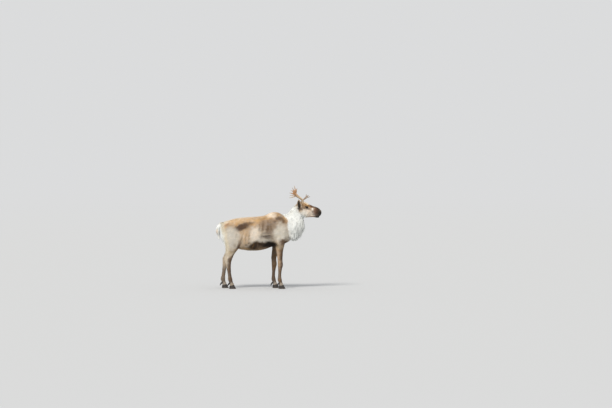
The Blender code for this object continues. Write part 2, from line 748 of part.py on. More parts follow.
def tube(name, points, sides, per_span=3):
    """A closed tube through points with a radius at each, blunt at both ends."""
    rows = smooth_rows(points, per_span)
    centres = [Vector(row[:3]) for row in rows]
    rings = []
    side_way = Vector((0, 1, 0))
    for i, (centre, row) in enumerate(zip(centres, rows)):
        ahead = centres[min(i + 1, len(centres) - 1)]
        behind = centres[max(i - 1, 0)]
        along = (ahead - behind).normalized()
        side_way = (side_way - along * side_way.dot(along)).normalized()
        up_way = along.cross(side_way)
        turns = [2 * math.pi * k / sides for k in range(sides)]
        rings.append(
            [centre + row[3] * (side_way * math.cos(t) + up_way * math.sin(t)) for t in turns]
        )
    return loft(name, rings)


# Hooves and dewclaws
for leg in LEGS:
    foot_x = leg.stations[-1].x + leg.step
    foot_y = leg.side * leg.stations[-1].y
    for outward in (-1, 1):
        place = "outer" if outward == leg.side else "inner"
        finish(claw(leg, outward), f"claw_{leg.name}_{place}", HOOF_HORN)
        spur_y = foot_y + outward * DEWCLAW_SPREAD
        points = [(foot_x + x, spur_y + outward * 0.12 * (0.092 - z), z, r) for x, z, r in DEWCLAW]
        spur = tube("spur", points, 6, 1)
        combine(spur, "DIFFERENCE", grown(lower_legs[leg.name], GAP))
        finish(spur, f"dewclaw_{leg.name}_{place}", HOOF_HORN)


def tail_rows(core):
    """The tail's middle line with its frame: centre, way along, way out of its back, half sizes."""
    rows = smooth_rows(TAIL, 4)
    made = []
    for i, (x, z, thick, wide) in enumerate(rows):
        scale = 1 - (1 - core) * ramp(i / len(rows), 0.05, 0.40)
        ahead = rows[min(i + 1, len(rows) - 1)]
        behind = rows[max(i - 1, 0)]
        along = Vector((ahead[0] - behind[0], 0, ahead[1] - behind[1])).normalized()
        back = Vector((along.z, 0, -along.x))
        made.append((Vector((x, 0, z)), along, back, scale * thick, scale * wide))
    return made


def tail_point(row, turn):
    centre, _, back, thick, wide = row
    return centre + back * thick * math.sin(turn) + Vector((0, wide * math.cos(turn), 0))


def tail_locks():
    """Rows of locks that each run from the tail's core out to the full tail's surface lower down."""
    core = tail_rows(TAIL_CORE)
    full = tail_rows(1.0)
    last = len(core) - 1
    made = []
    for i in range(TAIL_ROWS):
        place = 0.14 + 0.60 * i / (TAIL_ROWS - 1)
        row = core[round(place * last)]
        for k in range(TAIL_LOCKS):
            turn = 2 * math.pi * (k + 0.5 * (i % 2)) / TAIL_LOCKS + random.uniform(-0.12, 0.12)
            root = tail_point(row, turn)
            reach = place + TAIL_LOCK_REACH * random.uniform(0.85, 1.1)
            tip = tail_point(full[min(round(reach * last), last)], turn)
            tip += core[last][1] * TAIL_LENGTH * max(0.0, reach - 1)
            outward = (root - row[0]).normalized()
            way = tip - root
            width = TAIL_LOCK_WIDTH * random.uniform(0.9, 1.1) * (1 - 0.10 * i)
            made.append(lock(root, outward, way.normalized(), way.length, 0.003, 0.0, width))
    return made


# The tail hangs clear of the buttocks from its root on the rump
turns = [2 * math.pi * k / 8 for k in range(8)]
tail = loft("tail", [[tail_point(row, turn) for turn in turns] for row in tail_rows(TAIL_CORE)[::2]])
join_locks(tail, tail_locks())
torso_grown = grown(torso, GAP)
combine(tail, "DIFFERENCE", copy_of(torso_grown))
finish(tail, "tail", WHITE_COAT)


# The head's skin, with lids round each eye, nostrils and the line of the mouth
pieces = [
    sagittal_body("skull", HEAD),
    sagittal_body("jaw", JAW),
    sagittal_body("nape", NECK[2:]),
]
pieces += [swelling_body(s, side) for s in HEAD_SWELLINGS for side in (-1, 1)]
head = fuse("head", pieces, HEAD_VOXEL)
smooth(head, lambda point: 0.9 - 0.3 * ramp(point.x, 0.60, 0.72), 9)
cut_away(head, at(HEAD_CUT[0]) + HEAD_NORMAL * (GAP / 2 - 0.02), -HEAD_NORMAL)
thin_out(head, HEAD_TRIANGLES, muzzle_fineness)
cut_away(head, at(HEAD_CUT[0]) + HEAD_NORMAL * GAP / 2, -HEAD_NORMAL)


def eye_place(side):
    """The frame of one eye: X along the eyelids towards the nose, Z outward from the eyeball."""
    outward = Vector((0.26, 0.95 * side, 0.12)).normalized()
    along = Vector((0.93, 0, -0.37))
    along = (along - outward * along.dot(outward)).normalized()
    up = outward.cross(along)
    turned = Matrix((along, up, outward)).transposed().to_4x4()
    return Matrix.Translation((EYE.x, side * EYE.y, EYE.z)) @ turned


def eyeball(side, radius):
    """The front of an eyeball, cut flat a little behind its middle."""
    made = ball("eyeball", radius)
    cut_away(made, (0, 0, EYE_RADIUS * 0.9 - radius), (0, 0, -1))
    made.data.transform(eye_place(side))
    return made


def lid_opening(side):
    """An almond prism outward from the eyeball's middle, between the two lids."""
    half, top, low = 0.0165, 0.0120, 0.0095
    outline = []
    for i in range(10):
        turn = 2 * math.pi * i / 10
        height = top if math.sin(turn) * side > 0 else low
        bow = math.copysign(abs(math.sin(turn)) ** 1.3, math.sin(turn))
        outline.append((half * math.cos(turn), height * bow))
    rings = [[(x, y, 0.002) for x, y in outline], [(1.25 * x, 1.35 * y, 0.035) for x, y in outline]]
    made = loft("lid_opening", rings)
    made.data.transform(eye_place(side))
    return made


def mouth_cutter():
    """A thin curved plate along the lips, hollowed so that it only grooves the skin."""
    upper, lower = [], []
    rows = smooth_rows([(x, z, 0) for x, z in MOUTH_LINE], 4)
    for x, z, _ in rows:
        share = ramp(x, MOUTH_LINE[-1][0], MOUTH_LINE[-1][0] + 0.04)
        half = MOUTH_WIDTH / 2 * (0.25 + 0.75 * share)
        upper.append((x, z + half))
        lower.append((x, z - half))
    outline = upper + lower[::-1]
    plate = loft("plate", [[(x, y, z) for x, z in outline] for y in (-0.08, 0.08)])
    inner = []
    for s in HEAD[4:-1]:
        top = (s.top[0] - 0.012, s.top[1])
        low = (s.low[0] - 0.012, s.low[1] - 0.03)
        inner.append(Slice(top, low, max(0.004, s.half_width - MOUTH_DEPTH), s.widest, s.square))
    return combine(plate, "DIFFERENCE", sagittal_body("inner", inner))


for side in (-1, 1):
    centre = Vector((EYE.x, side * EYE.y, EYE.z))
    combine(head, "UNION", ball("lids", EYE_RADIUS + LID_THICKNESS, centre))
    combine(head, "DIFFERENCE", lid_opening(side))
    combine(head, "DIFFERENCE", eyeball(side, EYE_RADIUS + GAP))
    combine(head, "DIFFERENCE", swelling_body(NOSTRIL, side, 2))
    eye = eyeball(side, EYE_RADIUS)
    finish(eye, "eye_left" if side > 0 else "eye_right", EYE_GLOSS)
combine(head, "DIFFERENCE", mouth_cutter())
finish(head, "head", FACE_COAT)
head_grown = grown(head, GAP)


def ear_body(side):
    """A leaf-shaped cup of thin shell, nearly closed round its root and open towards its tip."""
    mirror = Vector((1, side, 1))
    base, tip = EAR_BASE * mirror, EAR_TIP * mirror
    along = (tip - base).normalized()
    facing = EAR_FACING * mirror
    facing = (facing - along * facing.dot(along)).normalized()
    across = along.cross(facing)
    columns = 6
    rings = []
    for share, half_width, depth in EAR_PROFILE:
        centre = base + (tip - base) * share - facing * 0.010 * math.sin(math.pi * share)
        reach = math.radians(128 - 44 * ramp(share, 0.0, 0.35))
        shell = EAR_SHELL * (1 - 0.72 * ramp(share, 0.5, 1.0))
        outer, inner = [], []
        for i in range(columns + 1):
            turn = reach * (2 * i / columns - 1)
            way = across * math.sin(turn) * half_width - facing * math.cos(turn) * depth
            outer.append(centre + way)
            inner.append(centre + way - way.normalized() * min(shell, way.length * 0.6))
        rings.append(outer + inner[::-1])
    return loft("ear", rings)


for side, place in ((-1, "right"), (1, "left")):
    ear = ear_body(side)
    combine(ear, "DIFFERENCE", copy_of(head_grown))
    finish(ear, f"ear_{place}", FACE_COAT)


def antler(side, place):
    """One whole antler: its tines, palm and burr fused together."""
    beam_lean, brow_lean = ANTLER_LEAN[place]
    parts = []
    for tine in TINES:
        lean = brow_lean if tine.piece == "brow" else beam_lean
        parts.append((tube("tine", tine.points, 10), lean))
    parts.append((swelling_body(ANTLER_PALM, 1), beam_lean))
    for part, lean in parts:
        turn = Matrix.Rotation(math.radians(lean), 4, "Y")
        around = Matrix.Translation(ANTLER_BASE) @ turn @ Matrix.Translation(-ANTLER_BASE)
        part.data.transform(around)
    burr = ball("burr", 1.0)
    burr.data.transform(Matrix.Translation(ANTLER_BASE) @ Matrix.Rotation(-0.35, 4, "Y")
                        @ Matrix.Diagonal((BURR_SIZE[0], BURR_SIZE[0], BURR_SIZE[1], 1)))
    made = fuse("antler", [part for part, _ in parts] + [burr], ANTLER_VOXEL)
    smooth(made, lambda point: 0.6, 3)
    thin_out(made, ANTLER_TRIANGLES)
    made.data.transform(Matrix.Diagonal((1, side, 1, 1)))
    face_outward(made)
    return made


def turned_about_base(point, direction, degrees):
    turn = Matrix.Rotation(math.radians(degrees), 3, "Y")
    base = at((ANTLER_BASE.x, ANTLER_BASE.z))
    return base + turn @ (at(point) - base), (turn @ at(direction)).normalized()


for side, place in ((-1, "right"), (1, "left")):
    beam_lean, brow_lean = ANTLER_LEAN[place]
    whole = antler(side, place)
    combine(whole, "DIFFERENCE", copy_of(head_grown))
    brow_point, brow_normal = turned_about_base(*BROW_CUT, brow_lean)
    crown_point, crown_normal = turned_about_base(*CROWN_CUT, beam_lean)
    brow = cut_away(copy_of(whole), brow_point + brow_normal * GAP / 2, -brow_normal)
    crown = cut_away(copy_of(whole), crown_point + crown_normal * GAP / 2, -crown_normal)
    cut_away(whole, brow_point - brow_normal * GAP / 2, brow_normal)
    cut_away(whole, crown_point - crown_normal * GAP / 2, crown_normal)
    finish(brow, f"antler_brow_tine_{place}", ANTLER_BONE)
    finish(crown, f"antler_crown_{place}", ANTLER_BONE)
    finish(whole, f"antler_beam_{place}", ANTLER_BONE)

# The throat mane, bent and cut clear of the head and the chest
join_locks(neck, throat_locks)
keep_largest(neck)
combine(neck, "DIFFERENCE", head_grown)
combine(neck, "DIFFERENCE", torso_grown)
finish(neck, "neck", WHITE_COAT)
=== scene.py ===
"""A reindeer cow in her pale late-winter coat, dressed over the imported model.

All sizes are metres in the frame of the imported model: +X is the way she faces, +Y her left side, and
she stands on the floor at Z = 0.
"""

from collections import namedtuple
from math import copysign, cos, hypot, pi, radians, sin

import bmesh
import bpy
import numpy as np
from mathutils import Matrix, Vector, noise
from mathutils.bvhtree import BVHTree
from mathutils.kdtree import KDTree


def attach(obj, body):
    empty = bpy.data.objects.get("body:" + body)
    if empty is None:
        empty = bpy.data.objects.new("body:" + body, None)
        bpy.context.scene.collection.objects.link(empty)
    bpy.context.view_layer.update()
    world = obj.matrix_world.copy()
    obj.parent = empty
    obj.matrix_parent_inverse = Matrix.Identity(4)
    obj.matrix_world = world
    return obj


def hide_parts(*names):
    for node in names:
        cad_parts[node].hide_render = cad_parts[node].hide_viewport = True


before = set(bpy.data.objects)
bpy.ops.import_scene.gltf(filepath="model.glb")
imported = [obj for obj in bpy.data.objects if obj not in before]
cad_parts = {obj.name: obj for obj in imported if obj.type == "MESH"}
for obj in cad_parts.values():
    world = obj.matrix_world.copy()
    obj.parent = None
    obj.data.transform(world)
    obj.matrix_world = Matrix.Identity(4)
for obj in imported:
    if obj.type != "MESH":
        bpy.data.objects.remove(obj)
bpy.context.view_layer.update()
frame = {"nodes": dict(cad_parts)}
rng = np.random.default_rng(7)

# The skin
# The hide from muzzle to tail is one closed body in place of the parted pieces of flesh. It is laid out
# as slices across the trunk, neck and head and stations down each leg, which are fused and then sunk
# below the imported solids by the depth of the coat.

# Slices: X and Z where each meets the top and the bottom of the side outline, its half width, how far up
# it is widest (0 at the bottom, 1 at the top), and how square it is (2 is round)
TRUNK = (
    (-0.712, 0.900, -0.704, 0.790, 0.050, 0.55, 2.0),
    (-0.690, 0.945, -0.686, 0.715, 0.100, 0.55, 2.1),
    (-0.630, 0.988, -0.634, 0.650, 0.142, 0.55, 2.2),
    (-0.516, 1.025, -0.516, 0.600, 0.172, 0.52, 2.2),
    (-0.400, 1.043, -0.400, 0.572, 0.192, 0.48, 2.2),
    (-0.279, 1.051, -0.279, 0.556, 0.212, 0.45, 2.2),
    (-0.150, 1.060, -0.150, 0.560, 0.218, 0.45, 2.2),
    (-0.060, 1.076, -0.060, 0.578, 0.212, 0.45, 2.2),
    (0.010, 1.110, 0.010, 0.602, 0.198, 0.44, 2.1),
    (0.069, 1.125, 0.069, 0.622, 0.184, 0.43, 2.0),
    (0.134, 1.117, 0.150, 0.640, 0.172, 0.43, 2.0),
    (0.190, 1.098, 0.230, 0.662, 0.156, 0.42, 2.0),
    (0.248, 1.078, 0.305, 0.700, 0.132, 0.42, 2.0),
    (0.290, 0.990, 0.355, 0.765, 0.095, 0.45, 2.0),
)
NECK = (
    (0.190, 1.080, 0.290, 0.722, 0.136, 0.45, 2.0),
    (0.254, 1.095, 0.372, 0.770, 0.120, 0.46, 2.0),
    (0.300, 1.126, 0.428, 0.855, 0.103, 0.47, 2.0),
    (0.345, 1.178, 0.463, 0.930, 0.090, 0.48, 2.1),
    (0.388, 1.231, 0.490, 0.992, 0.080, 0.50, 2.1),
    (0.428, 1.266, 0.513, 1.030, 0.073, 0.50, 2.1),
    (0.462, 1.272, 0.532, 1.052, 0.066, 0.50, 2.1),
)
HEAD = (
    (0.436, 1.246, 0.492, 1.090, 0.052, 0.60, 2.2),
    (0.456, 1.276, 0.507, 1.060, 0.066, 0.60, 2.2),
    (0.487, 1.289, 0.530, 1.043, 0.073, 0.62, 2.3),
    (0.522, 1.277, 0.560, 1.042, 0.075, 0.66, 2.3),
    (0.566, 1.255, 0.592, 1.050, 0.070, 0.66, 2.3),
    (0.610, 1.231, 0.622, 1.060, 0.057, 0.60, 2.3),
    (0.652, 1.212, 0.652, 1.066, 0.048, 0.54, 2.4),
    (0.693, 1.199, 0.684, 1.067, 0.045, 0.48, 2.5),
    (0.725, 1.186, 0.712, 1.065, 0.047, 0.45, 2.5),
    (0.749, 1.165, 0.736, 1.064, 0.045, 0.45, 2.4),
    (0.766, 1.138, 0.752, 1.070, 0.036, 0.50, 2.2),
    (0.774, 1.112, 0.764, 1.086, 0.018, 0.50, 2.0),
)
JAW = (
    (0.540, 1.130, 0.556, 1.044, 0.046, 0.55, 2.0),
    (0.600, 1.110, 0.606, 1.049, 0.040, 0.55, 2.0),
    (0.650, 1.088, 0.655, 1.048, 0.031, 0.55, 2.1),
    (0.695, 1.078, 0.695, 1.041, 0.028, 0.55, 2.2),
    (0.724, 1.074, 0.721, 1.040, 0.027, 0.55, 2.2),
    (0.742, 1.068, 0.739, 1.049, 0.017, 0.55, 2.0),
)

# Stations down a leg: X, Y and Z of the middle, half size along the animal and half size across it
FORE_LEG = (
    (0.120, 0.100, 0.930, 0.065, 0.035),
    (0.150, 0.108, 0.830, 0.092, 0.050),
    (0.162, 0.110, 0.740, 0.092, 0.056),
    (0.158, 0.108, 0.660, 0.076, 0.054),
    (0.157, 0.105, 0.570, 0.054, 0.045),
    (0.160, 0.103, 0.480, 0.042, 0.038),
    (0.164, 0.101, 0.405, 0.036, 0.034),
    (0.168, 0.100, 0.350, 0.038, 0.036),
    (0.163, 0.100, 0.300, 0.030, 0.029),
    (0.158, 0.100, 0.220, 0.025, 0.024),
    (0.156, 0.100, 0.165, 0.027, 0.027),
    (0.158, 0.100, 0.130, 0.033, 0.032),
    (0.168, 0.100, 0.095, 0.029, 0.031),
    (0.178, 0.100, 0.070, 0.032, 0.036),
    (0.184, 0.100, 0.040, 0.034, 0.039),
)
HIND_LEG = (
    (-0.520, 0.080, 0.930, 0.110, 0.050),
    (-0.532, 0.096, 0.840, 0.138, 0.072),
    (-0.532, 0.104, 0.750, 0.142, 0.080),
    (-0.520, 0.108, 0.665, 0.130, 0.073),
    (-0.540, 0.108, 0.590, 0.094, 0.056),
    (-0.566, 0.106, 0.530, 0.072, 0.045),
    (-0.588, 0.104, 0.480, 0.064, 0.038),
    (-0.600, 0.103, 0.440, 0.058, 0.037),
    (-0.602, 0.102, 0.395, 0.045, 0.033),
    (-0.597, 0.102, 0.320, 0.033, 0.028),
    (-0.588, 0.102, 0.230, 0.028, 0.025),
    (-0.582, 0.102, 0.175, 0.029, 0.028),
    (-0.578, 0.102, 0.138, 0.035, 0.033),
    (-0.568, 0.102, 0.100, 0.030, 0.032),
    (-0.556, 0.102, 0.072, 0.033, 0.036),
    (-0.550, 0.102, 0.040, 0.035, 0.039),
)
# A leg: its side, how far forward of its stations its foot stands, and the heights between which it
# swings there
Leg = namedtuple("Leg", "name side stations step swing")
LEGS = (
    Leg("foreleg_right", -1, FORE_LEG, 0.000, (0.80, 0.45)),
    Leg("foreleg_left", 1, FORE_LEG, -0.092, (0.80, 0.45)),
    Leg("hindleg_right", -1, HIND_LEG, 0.008, (0.55, 0.13)),
    Leg("hindleg_left", 1, HIND_LEG, -0.105, (0.55, 0.13)),
)

# Muscle and bone that stand out under the hide: centre, radii and pitch about the Y axis in degrees
Swelling = namedtuple("Swelling", "centre radii pitch")
BODY_SWELLINGS = (
    Swelling((0.110, 0.096, 0.900), (0.085, 0.056, 0.165), 14),
    Swelling((0.205, 0.078, 0.790), (0.075, 0.060, 0.090), 0),
    Swelling((-0.540, 0.088, 0.860), (0.128, 0.074, 0.124), -20),
)
HEAD_SWELLINGS = (
    Swelling((0.556, 0.042, 1.118), (0.050, 0.024, 0.044), 26),
    Swelling((0.552, 0.056, 1.226), (0.034, 0.019, 0.012), 24),
    Swelling((0.602, 0.047, 1.172), (0.046, 0.010, 0.010), 22),
    Swelling((0.746, 0.027, 1.132), (0.026, 0.018, 0.026), 30),
    Swelling((0.722, 0.026, 1.084), (0.036, 0.019, 0.017), 6),
)
BODY_VOXEL = 0.0065
HEAD_VOXEL = 0.0024
FACE_VOXEL = 0.0018
RING_SIDES = 32

# The coat in each region: its depth, its tufts' length and width, how many tufts deep it lies, how far
# they gather into locks, and the way that they lie, as X and Z
REGIONS = {
    "trunk": (0.0075, 0.0410, 0.0048, 5.6, 0.22, -1.00, -0.40),
    "neck": (0.0095, 0.0540, 0.0055, 6.8, 0.24, -0.60, -0.80),
    "leg": (0.0050, 0.0260, 0.0043, 4.0, 0.12, -0.22, -1.00),
    "shank": (0.0030, 0.0135, 0.0031, 3.6, 0.15, -0.03, -1.00),
    "face": (0.0024, 0.0098, 0.0020, 3.2, 0.12, -1.00, -0.10),
    "muzzle": (0.0010, 0.0046, 0.0013, 2.3, 0.00, -1.00, -0.05),
}
# Where head meets neck and neck meets trunk, as two points of each line in the side view
HEAD_LINE = ((0.402, 1.250), (0.524, 1.000))
CHEST_LINE = ((0.262, 1.100), (0.292, 0.700))


def in_scene(name, data):
    made = bpy.data.objects.new(name, data)
    bpy.context.scene.collection.objects.link(made)
    return made


def mesh_object(name, vertices=(), faces=()):
    mesh = bpy.data.meshes.new(name)
    mesh.from_pydata([tuple(v) for v in vertices], [], faces)
    return in_scene(name, mesh)


def settle(made):
    """Turn an object's modifiers into its own mesh."""
    bpy.context.view_layer.update()
    graph = bpy.context.evaluated_depsgraph_get()
    finished = bpy.data.meshes.new_from_object(made.evaluated_get(graph))
    made.modifiers.clear()
    made.vertex_groups.clear()
    made.data = finished
    return made


def smooth_rows(rows, per_span):
    """More rows between these rows of numbers, on a curve through them that doesn't overshoot."""
    rows = np.array(rows, float)
    steps = np.linalg.norm(np.diff(rows[:, :3], axis=0), axis=1)
    slopes = np.diff(rows, axis=0) / steps[:, None]
    tangents = np.vstack([slopes[:1], (slopes[:-1] + slopes[1:]) / 2, slopes[-1:]])
    turning = slopes[:-1] * slopes[1:] <= 0
    tangents[1:-1][turning] = 0
    made = []
    for i, step in enumerate(steps):
        for t in np.arange(per_span) / per_span:
            made.append(
                (2 * t**3 - 3 * t**2 + 1) * rows[i]
                + (t**3 - 2 * t**2 + t) * step * tangents[i]
                + (3 * t**2 - 2 * t**3) * rows[i + 1]
                + (t**3 - t**2) * step * tangents[i + 1]
            )
    return [row.tolist() for row in made + [rows[-1]]]


def loft(name, rings):
    """A closed body through rings of as many points each, capped at both ends."""
    sides = len(rings[0])
    vertices = [point for ring in rings for point in ring]
    faces = []
    for start in range(0, (len(rings) - 1) * sides, sides):
        for i in range(sides):
            j = (i + 1) % sides
            faces.append((start + i, start + j, start + sides + j, start + sides + i))
    faces.append(tuple(reversed(range(sides))))
    faces.append(tuple(range(len(vertices) - sides, len(vertices))))
    made = mesh_object(name, vertices, faces)
    body = bmesh.new()
    body.from_mesh(made.data)
    bmesh.ops.recalc_face_normals(body, faces=body.faces)
    body.to_mesh(made.data)
    body.free()
    return made


def slice_point(row, turn):
    """A point on a slice's edge, turned from the animal's left side up over its back."""
    top_x, top_z, low_x, low_z, half_width, widest, square = row
    rise = abs(sin(turn)) ** (2 / square)
    height = widest + (1 - widest) * rise if sin(turn) > 0 else widest * (1 - rise)
    y = half_width * copysign(abs(cos(turn)) ** (2 / square), cos(turn))
    return low_x + (top_x - low_x) * height, y, low_z + (top_z - low_z) * height


def turns_round(count):
    return [2 * pi * i / count for i in range(count)]


def sagittal_body(slices):
    rows = smooth_rows(slices, 5)
    return loft("slices", [[slice_point(row, turn) for turn in turns_round(RING_SIDES)] for row in rows])


def leg_shift(leg, z):
    """How far forward a leg stands at a height: nothing at its root, its full step at the foot."""
    start, end = leg.swing
    return leg.step * np.clip((start - z) / (start - end), 0, 1)


def foot_place(leg):
    return leg.stations[-1][0] + leg.step, leg.side * leg.stations[-1][1]


def leg_body(leg):
    rings = []
    for x, y, z, along, across in smooth_rows(leg.stations, 5):
        x += leg_shift(leg, z)
        y *= leg.side
        rings.append([(x + along * cos(t), y + across * sin(t), z) for t in turns_round(RING_SIDES)])
    return loft(leg.name, rings)


def ball(radius, centre=(0, 0, 0), subdivisions=4):
    body = bmesh.new()
    bmesh.ops.create_icosphere(body, subdivisions=subdivisions, radius=radius)
    body.transform(Matrix.Translation(centre))
    made = mesh_object("ball")
    body.to_mesh(made.data)
    body.free()
    return made


def swelling_body(swelling, side):
    x, y, z = swelling.centre
    made = ball(1.0)
    made.data.transform(
        Matrix.Translation((x, side * y, z))
        @ Matrix.Rotation(radians(swelling.pitch), 4, "Y")
        @ Matrix.Diagonal((*swelling.radii, 1.0))
    )
    return made


def fuse(name, pieces, voxel):
    """One closed skin over overlapping closed pieces, which are used up."""
    body = bmesh.new()
    for piece in pieces:
        body.from_mesh(piece.data)
    made = mesh_object(name)
    body.to_mesh(made.data)
    body.free()
    for piece in pieces:
        bpy.data.objects.remove(piece)
    remesh = made.modifiers.new("fuse", "REMESH")
    remesh.mode = "VOXEL"
    remesh.voxel_size = voxel
    return settle(made)


def combine(made, operation, other, solver="EXACT"):
    """Join to a body, or cut from it, another one, which is used up."""
    step = made.modifiers.new("combine", "BOOLEAN")
    step.operation = operation
    step.solver = solver
    step.object = other
    settle(made)
    bpy.data.objects.remove(other)
    return made


def cut_away(made, point, normal):
    """Drop what lies beyond a plane and close the cut."""
    body = bmesh.new()
    body.from_mesh(made.data)
    every_part = body.verts[:] + body.edges[:] + body.faces[:]
    bmesh.ops.bisect_plane(body, geom=every_part, plane_co=point, plane_no=normal, clear_outer=True)
    bmesh.ops.holes_fill(body, edges=[edge for edge in body.edges if edge.is_boundary])
    body.to_mesh(made.data)
    body.free()


def read(items, name, width=3, kind=float):
    """What a mesh's points, edges or the like hold under a name, one to a row."""
    made = np.empty(len(items) * width, kind)
    items.foreach_get(name, made)
    return made.reshape(-1, width)


def points_of(made):
    return read(made.data.vertices, "co")


def normals_of(made):
    return read(made.data.vertex_normals, "vector")


def move_points(made, points):
    made.data.vertices.foreach_set("co", points.ravel())
    made.data.update()


def ramp(values, low, high):
    """0 below low, 1 above high, and a smooth rise between them."""
    share = np.clip((values - low) / (high - low), 0, 1)
    return share * share * (3 - 2 * share)


def smooth(made, weights, rounds):
    """Even out a skin, by a weight from 0 to 1 for all or for each of its points."""
    first, second = read(made.data.edges, "vertices", 2, int).T
    points = points_of(made)
    count = np.bincount(first, minlength=len(points)) + np.bincount(second, minlength=len(points))
    for _ in range(rounds):
        total = np.empty_like(points)
        for axis in range(3):
            total[:, axis] = np.bincount(first, points[second, axis], len(points))
            total[:, axis] += np.bincount(second, points[first, axis], len(points))
        points += (total / count[:, None] - points) * (0.5 * weights)
    move_points(made, points)


def beyond(points, line, low, high):
    """0 behind a line of the side view and 1 in front of it, turning over between two distances."""
    (x1, z1), (x2, z2) = line
    normal = np.array((z1 - z2, x2 - x1)) / hypot(z1 - z2, x2 - x1)
    return ramp((points[:, [0, 2]] - (x1, z1)) @ normal, low, high)


def by_place(points):
    """The coat's row of numbers at each point, with the regions blended into each other."""
    x, _, z = points.T
    at_hind = 1 - ramp(x, -0.42, -0.36)
    at_fore = ramp(x, 0.0, 0.05) * (1 - ramp(x, 0.22, 0.27))
    on_leg = np.maximum(1 - ramp(z, 0.50, 0.56), np.maximum(at_hind, at_fore) * (1 - ramp(z, 0.58, 0.78)))
    on_head = beyond(points, HEAD_LINE, -0.035, 0.035)
    made = np.array(REGIONS["trunk"]) + np.zeros((len(points), 1))
    for region, share in (
        ("leg", on_leg),
        ("shank", 1 - ramp(z, 0.24, 0.50)),
        ("neck", beyond(points, CHEST_LINE, -0.03, 0.03) * ramp(z, 0.60, 0.66)),
        ("face", on_head),
        ("muzzle", on_head * ramp(x, 0.63, 0.73)),
    ):
        made += (np.array(REGIONS[region]) - made) * share[:, None]
    return made


def coat_depth(points):
    return by_place(points)[:, 0]


def sink(made):
    """Move a skin inward by the depth of the coat over it."""
    points = points_of(made)
    move_points(made, points - normals_of(made) * coat_depth(points)[:, None])


def side_view(point):
    return Vector((point[0], 0.0, point[1]))


HEAD_WAY = Vector((HEAD_LINE[0][1] - HEAD_LINE[1][1], 0, HEAD_LINE[1][0] - HEAD_LINE[0][0])).normalized()

# Trunk, neck and legs
pieces = [sagittal_body(TRUNK), sagittal_body(NECK), sagittal_body(HEAD)]
pieces += [leg_body(leg) for leg in LEGS]
pieces += [swelling_body(s, side) for s in BODY_SWELLINGS for side in (-1, 1)]
skin = fuse("skin", pieces, BODY_VOXEL)
smooth(skin, 0.12 + 0.88 * ramp(points_of(skin)[:, 2:], 0.42, 0.60), 22)
cut_away(skin, side_view(HEAD_LINE[0]) + 0.012 * HEAD_WAY, HEAD_WAY)
sink(skin)

# Head, with the lids, the pits in front of the eyes, the nostrils and the line of the mouth
EYE = Vector((0.556, 0.0565, 1.198))
EYE_RADIUS = 0.0175
LID_THICKNESS = 0.0042
LID_OPENING = (0.0186, 0.0110, 0.0084)
TEAR_PIT = Swelling((0.5870, 0.0655, 1.1900), (0.0085, 0.0040, 0.0030), 24)
NOSTRILS = (
    Swelling((0.7665, 0.0360, 1.1270), (0.0110, 0.0085, 0.0064), 46),
    Swelling((0.7640, 0.0405, 1.1180), (0.0075, 0.0080, 0.0040), 20),
)
MOUTH_LINE = ((0.800, 1.072), (0.740, 1.065), (0.690, 1.067), (0.632, 1.062))
MOUTH_WIDTH = 0.0034
MOUTH_DEPTH = 0.009


def eye_place(side):
    """The frame of one eye: X along the eyelids towards the nose, Z outward from the eyeball."""
    outward = Vector((0.26, 0.95 * side, 0.12)).normalized()
    along = Vector((0.93, 0, -0.37))
    along = (along - outward * along.dot(outward)).normalized()
    turned = Matrix((along, outward.cross(along), outward)).transposed().to_4x4()
    return Matrix.Translation((EYE.x, side * EYE.y, EYE.z)) @ turned


def lid_opening(side):
    """An almond prism outward from the eyeball's middle, to cut the lids apart."""
    half, top, low = LID_OPENING
    outline = []
    for turn in turns_round(32):
        height = top if sin(turn) * side > 0 else low
        bow = copysign(abs(sin(turn)) ** 1.3, sin(turn))
        outline.append((half * cos(turn), height * bow))
    rings = [[(x, y, 0.002) for x, y in outline], [(1.2 * x, 1.3 * y, 0.035) for x, y in outline]]
    made = loft("lid_opening", rings)
    made.data.transform(eye_place(side))
    return made


def mouth_cutter():
    """A thin curved plate along the lips, hollowed so that it only grooves the skin."""
    upper, lower = [], []
    for x, z, _ in smooth_rows([(x, z, 0) for x, z in MOUTH_LINE], 6):
        half = MOUTH_WIDTH / 2 * (0.4 + 0.6 * float(ramp(x, MOUTH_LINE[-1][0], MOUTH_LINE[-1][0] + 0.05)))
        upper.append((x, z + half))
        lower.append((x, z - half))
    plate = loft("plate", [[(x, y, z) for x, z in upper + lower[::-1]] for y in (-0.08, 0.08)])
    inner = []
    for top_x, top_z, low_x, low_z, half_width, *form in HEAD[4:-1]:
        half_width = max(0.004, half_width - MOUTH_DEPTH)
        inner.append((top_x - 0.012, top_z, low_x - 0.012, low_z - 0.03, half_width, *form))
    return combine(plate, "DIFFERENCE", sagittal_body(inner))


pieces = [sagittal_body(HEAD), sagittal_body(JAW), sagittal_body(NECK[2:])]
pieces += [swelling_body(s, side) for s in HEAD_SWELLINGS for side in (-1, 1)]
head = fuse("head", pieces, HEAD_VOXEL)
smooth(head, 0.9 - 0.3 * ramp(points_of(head)[:, :1], 0.60, 0.72), 16)
sink(head)
cut_away(head, side_view(HEAD_LINE[0]) - 0.012 * HEAD_WAY, -HEAD_WAY)
for side in (-1, 1):
    centre = (EYE.x, side * EYE.y, EYE.z)
    combine(head, "UNION", ball(EYE_RADIUS + LID_THICKNESS, centre))
    combine(head, "DIFFERENCE", lid_opening(side))
    combine(head, "DIFFERENCE", ball(EYE_RADIUS + 0.0003, centre))
    combine(head, "DIFFERENCE", swelling_body(TEAR_PIT, side))
    for nostril in NOSTRILS:
        combine(head, "DIFFERENCE", swelling_body(nostril, side))
combine(head, "DIFFERENCE", mouth_cutter())
head = fuse("head", [head], FACE_VOXEL)
smooth(head, 1.0, 2)
combine(skin, "UNION", head, "MANIFOLD")
places = points_of(skin)
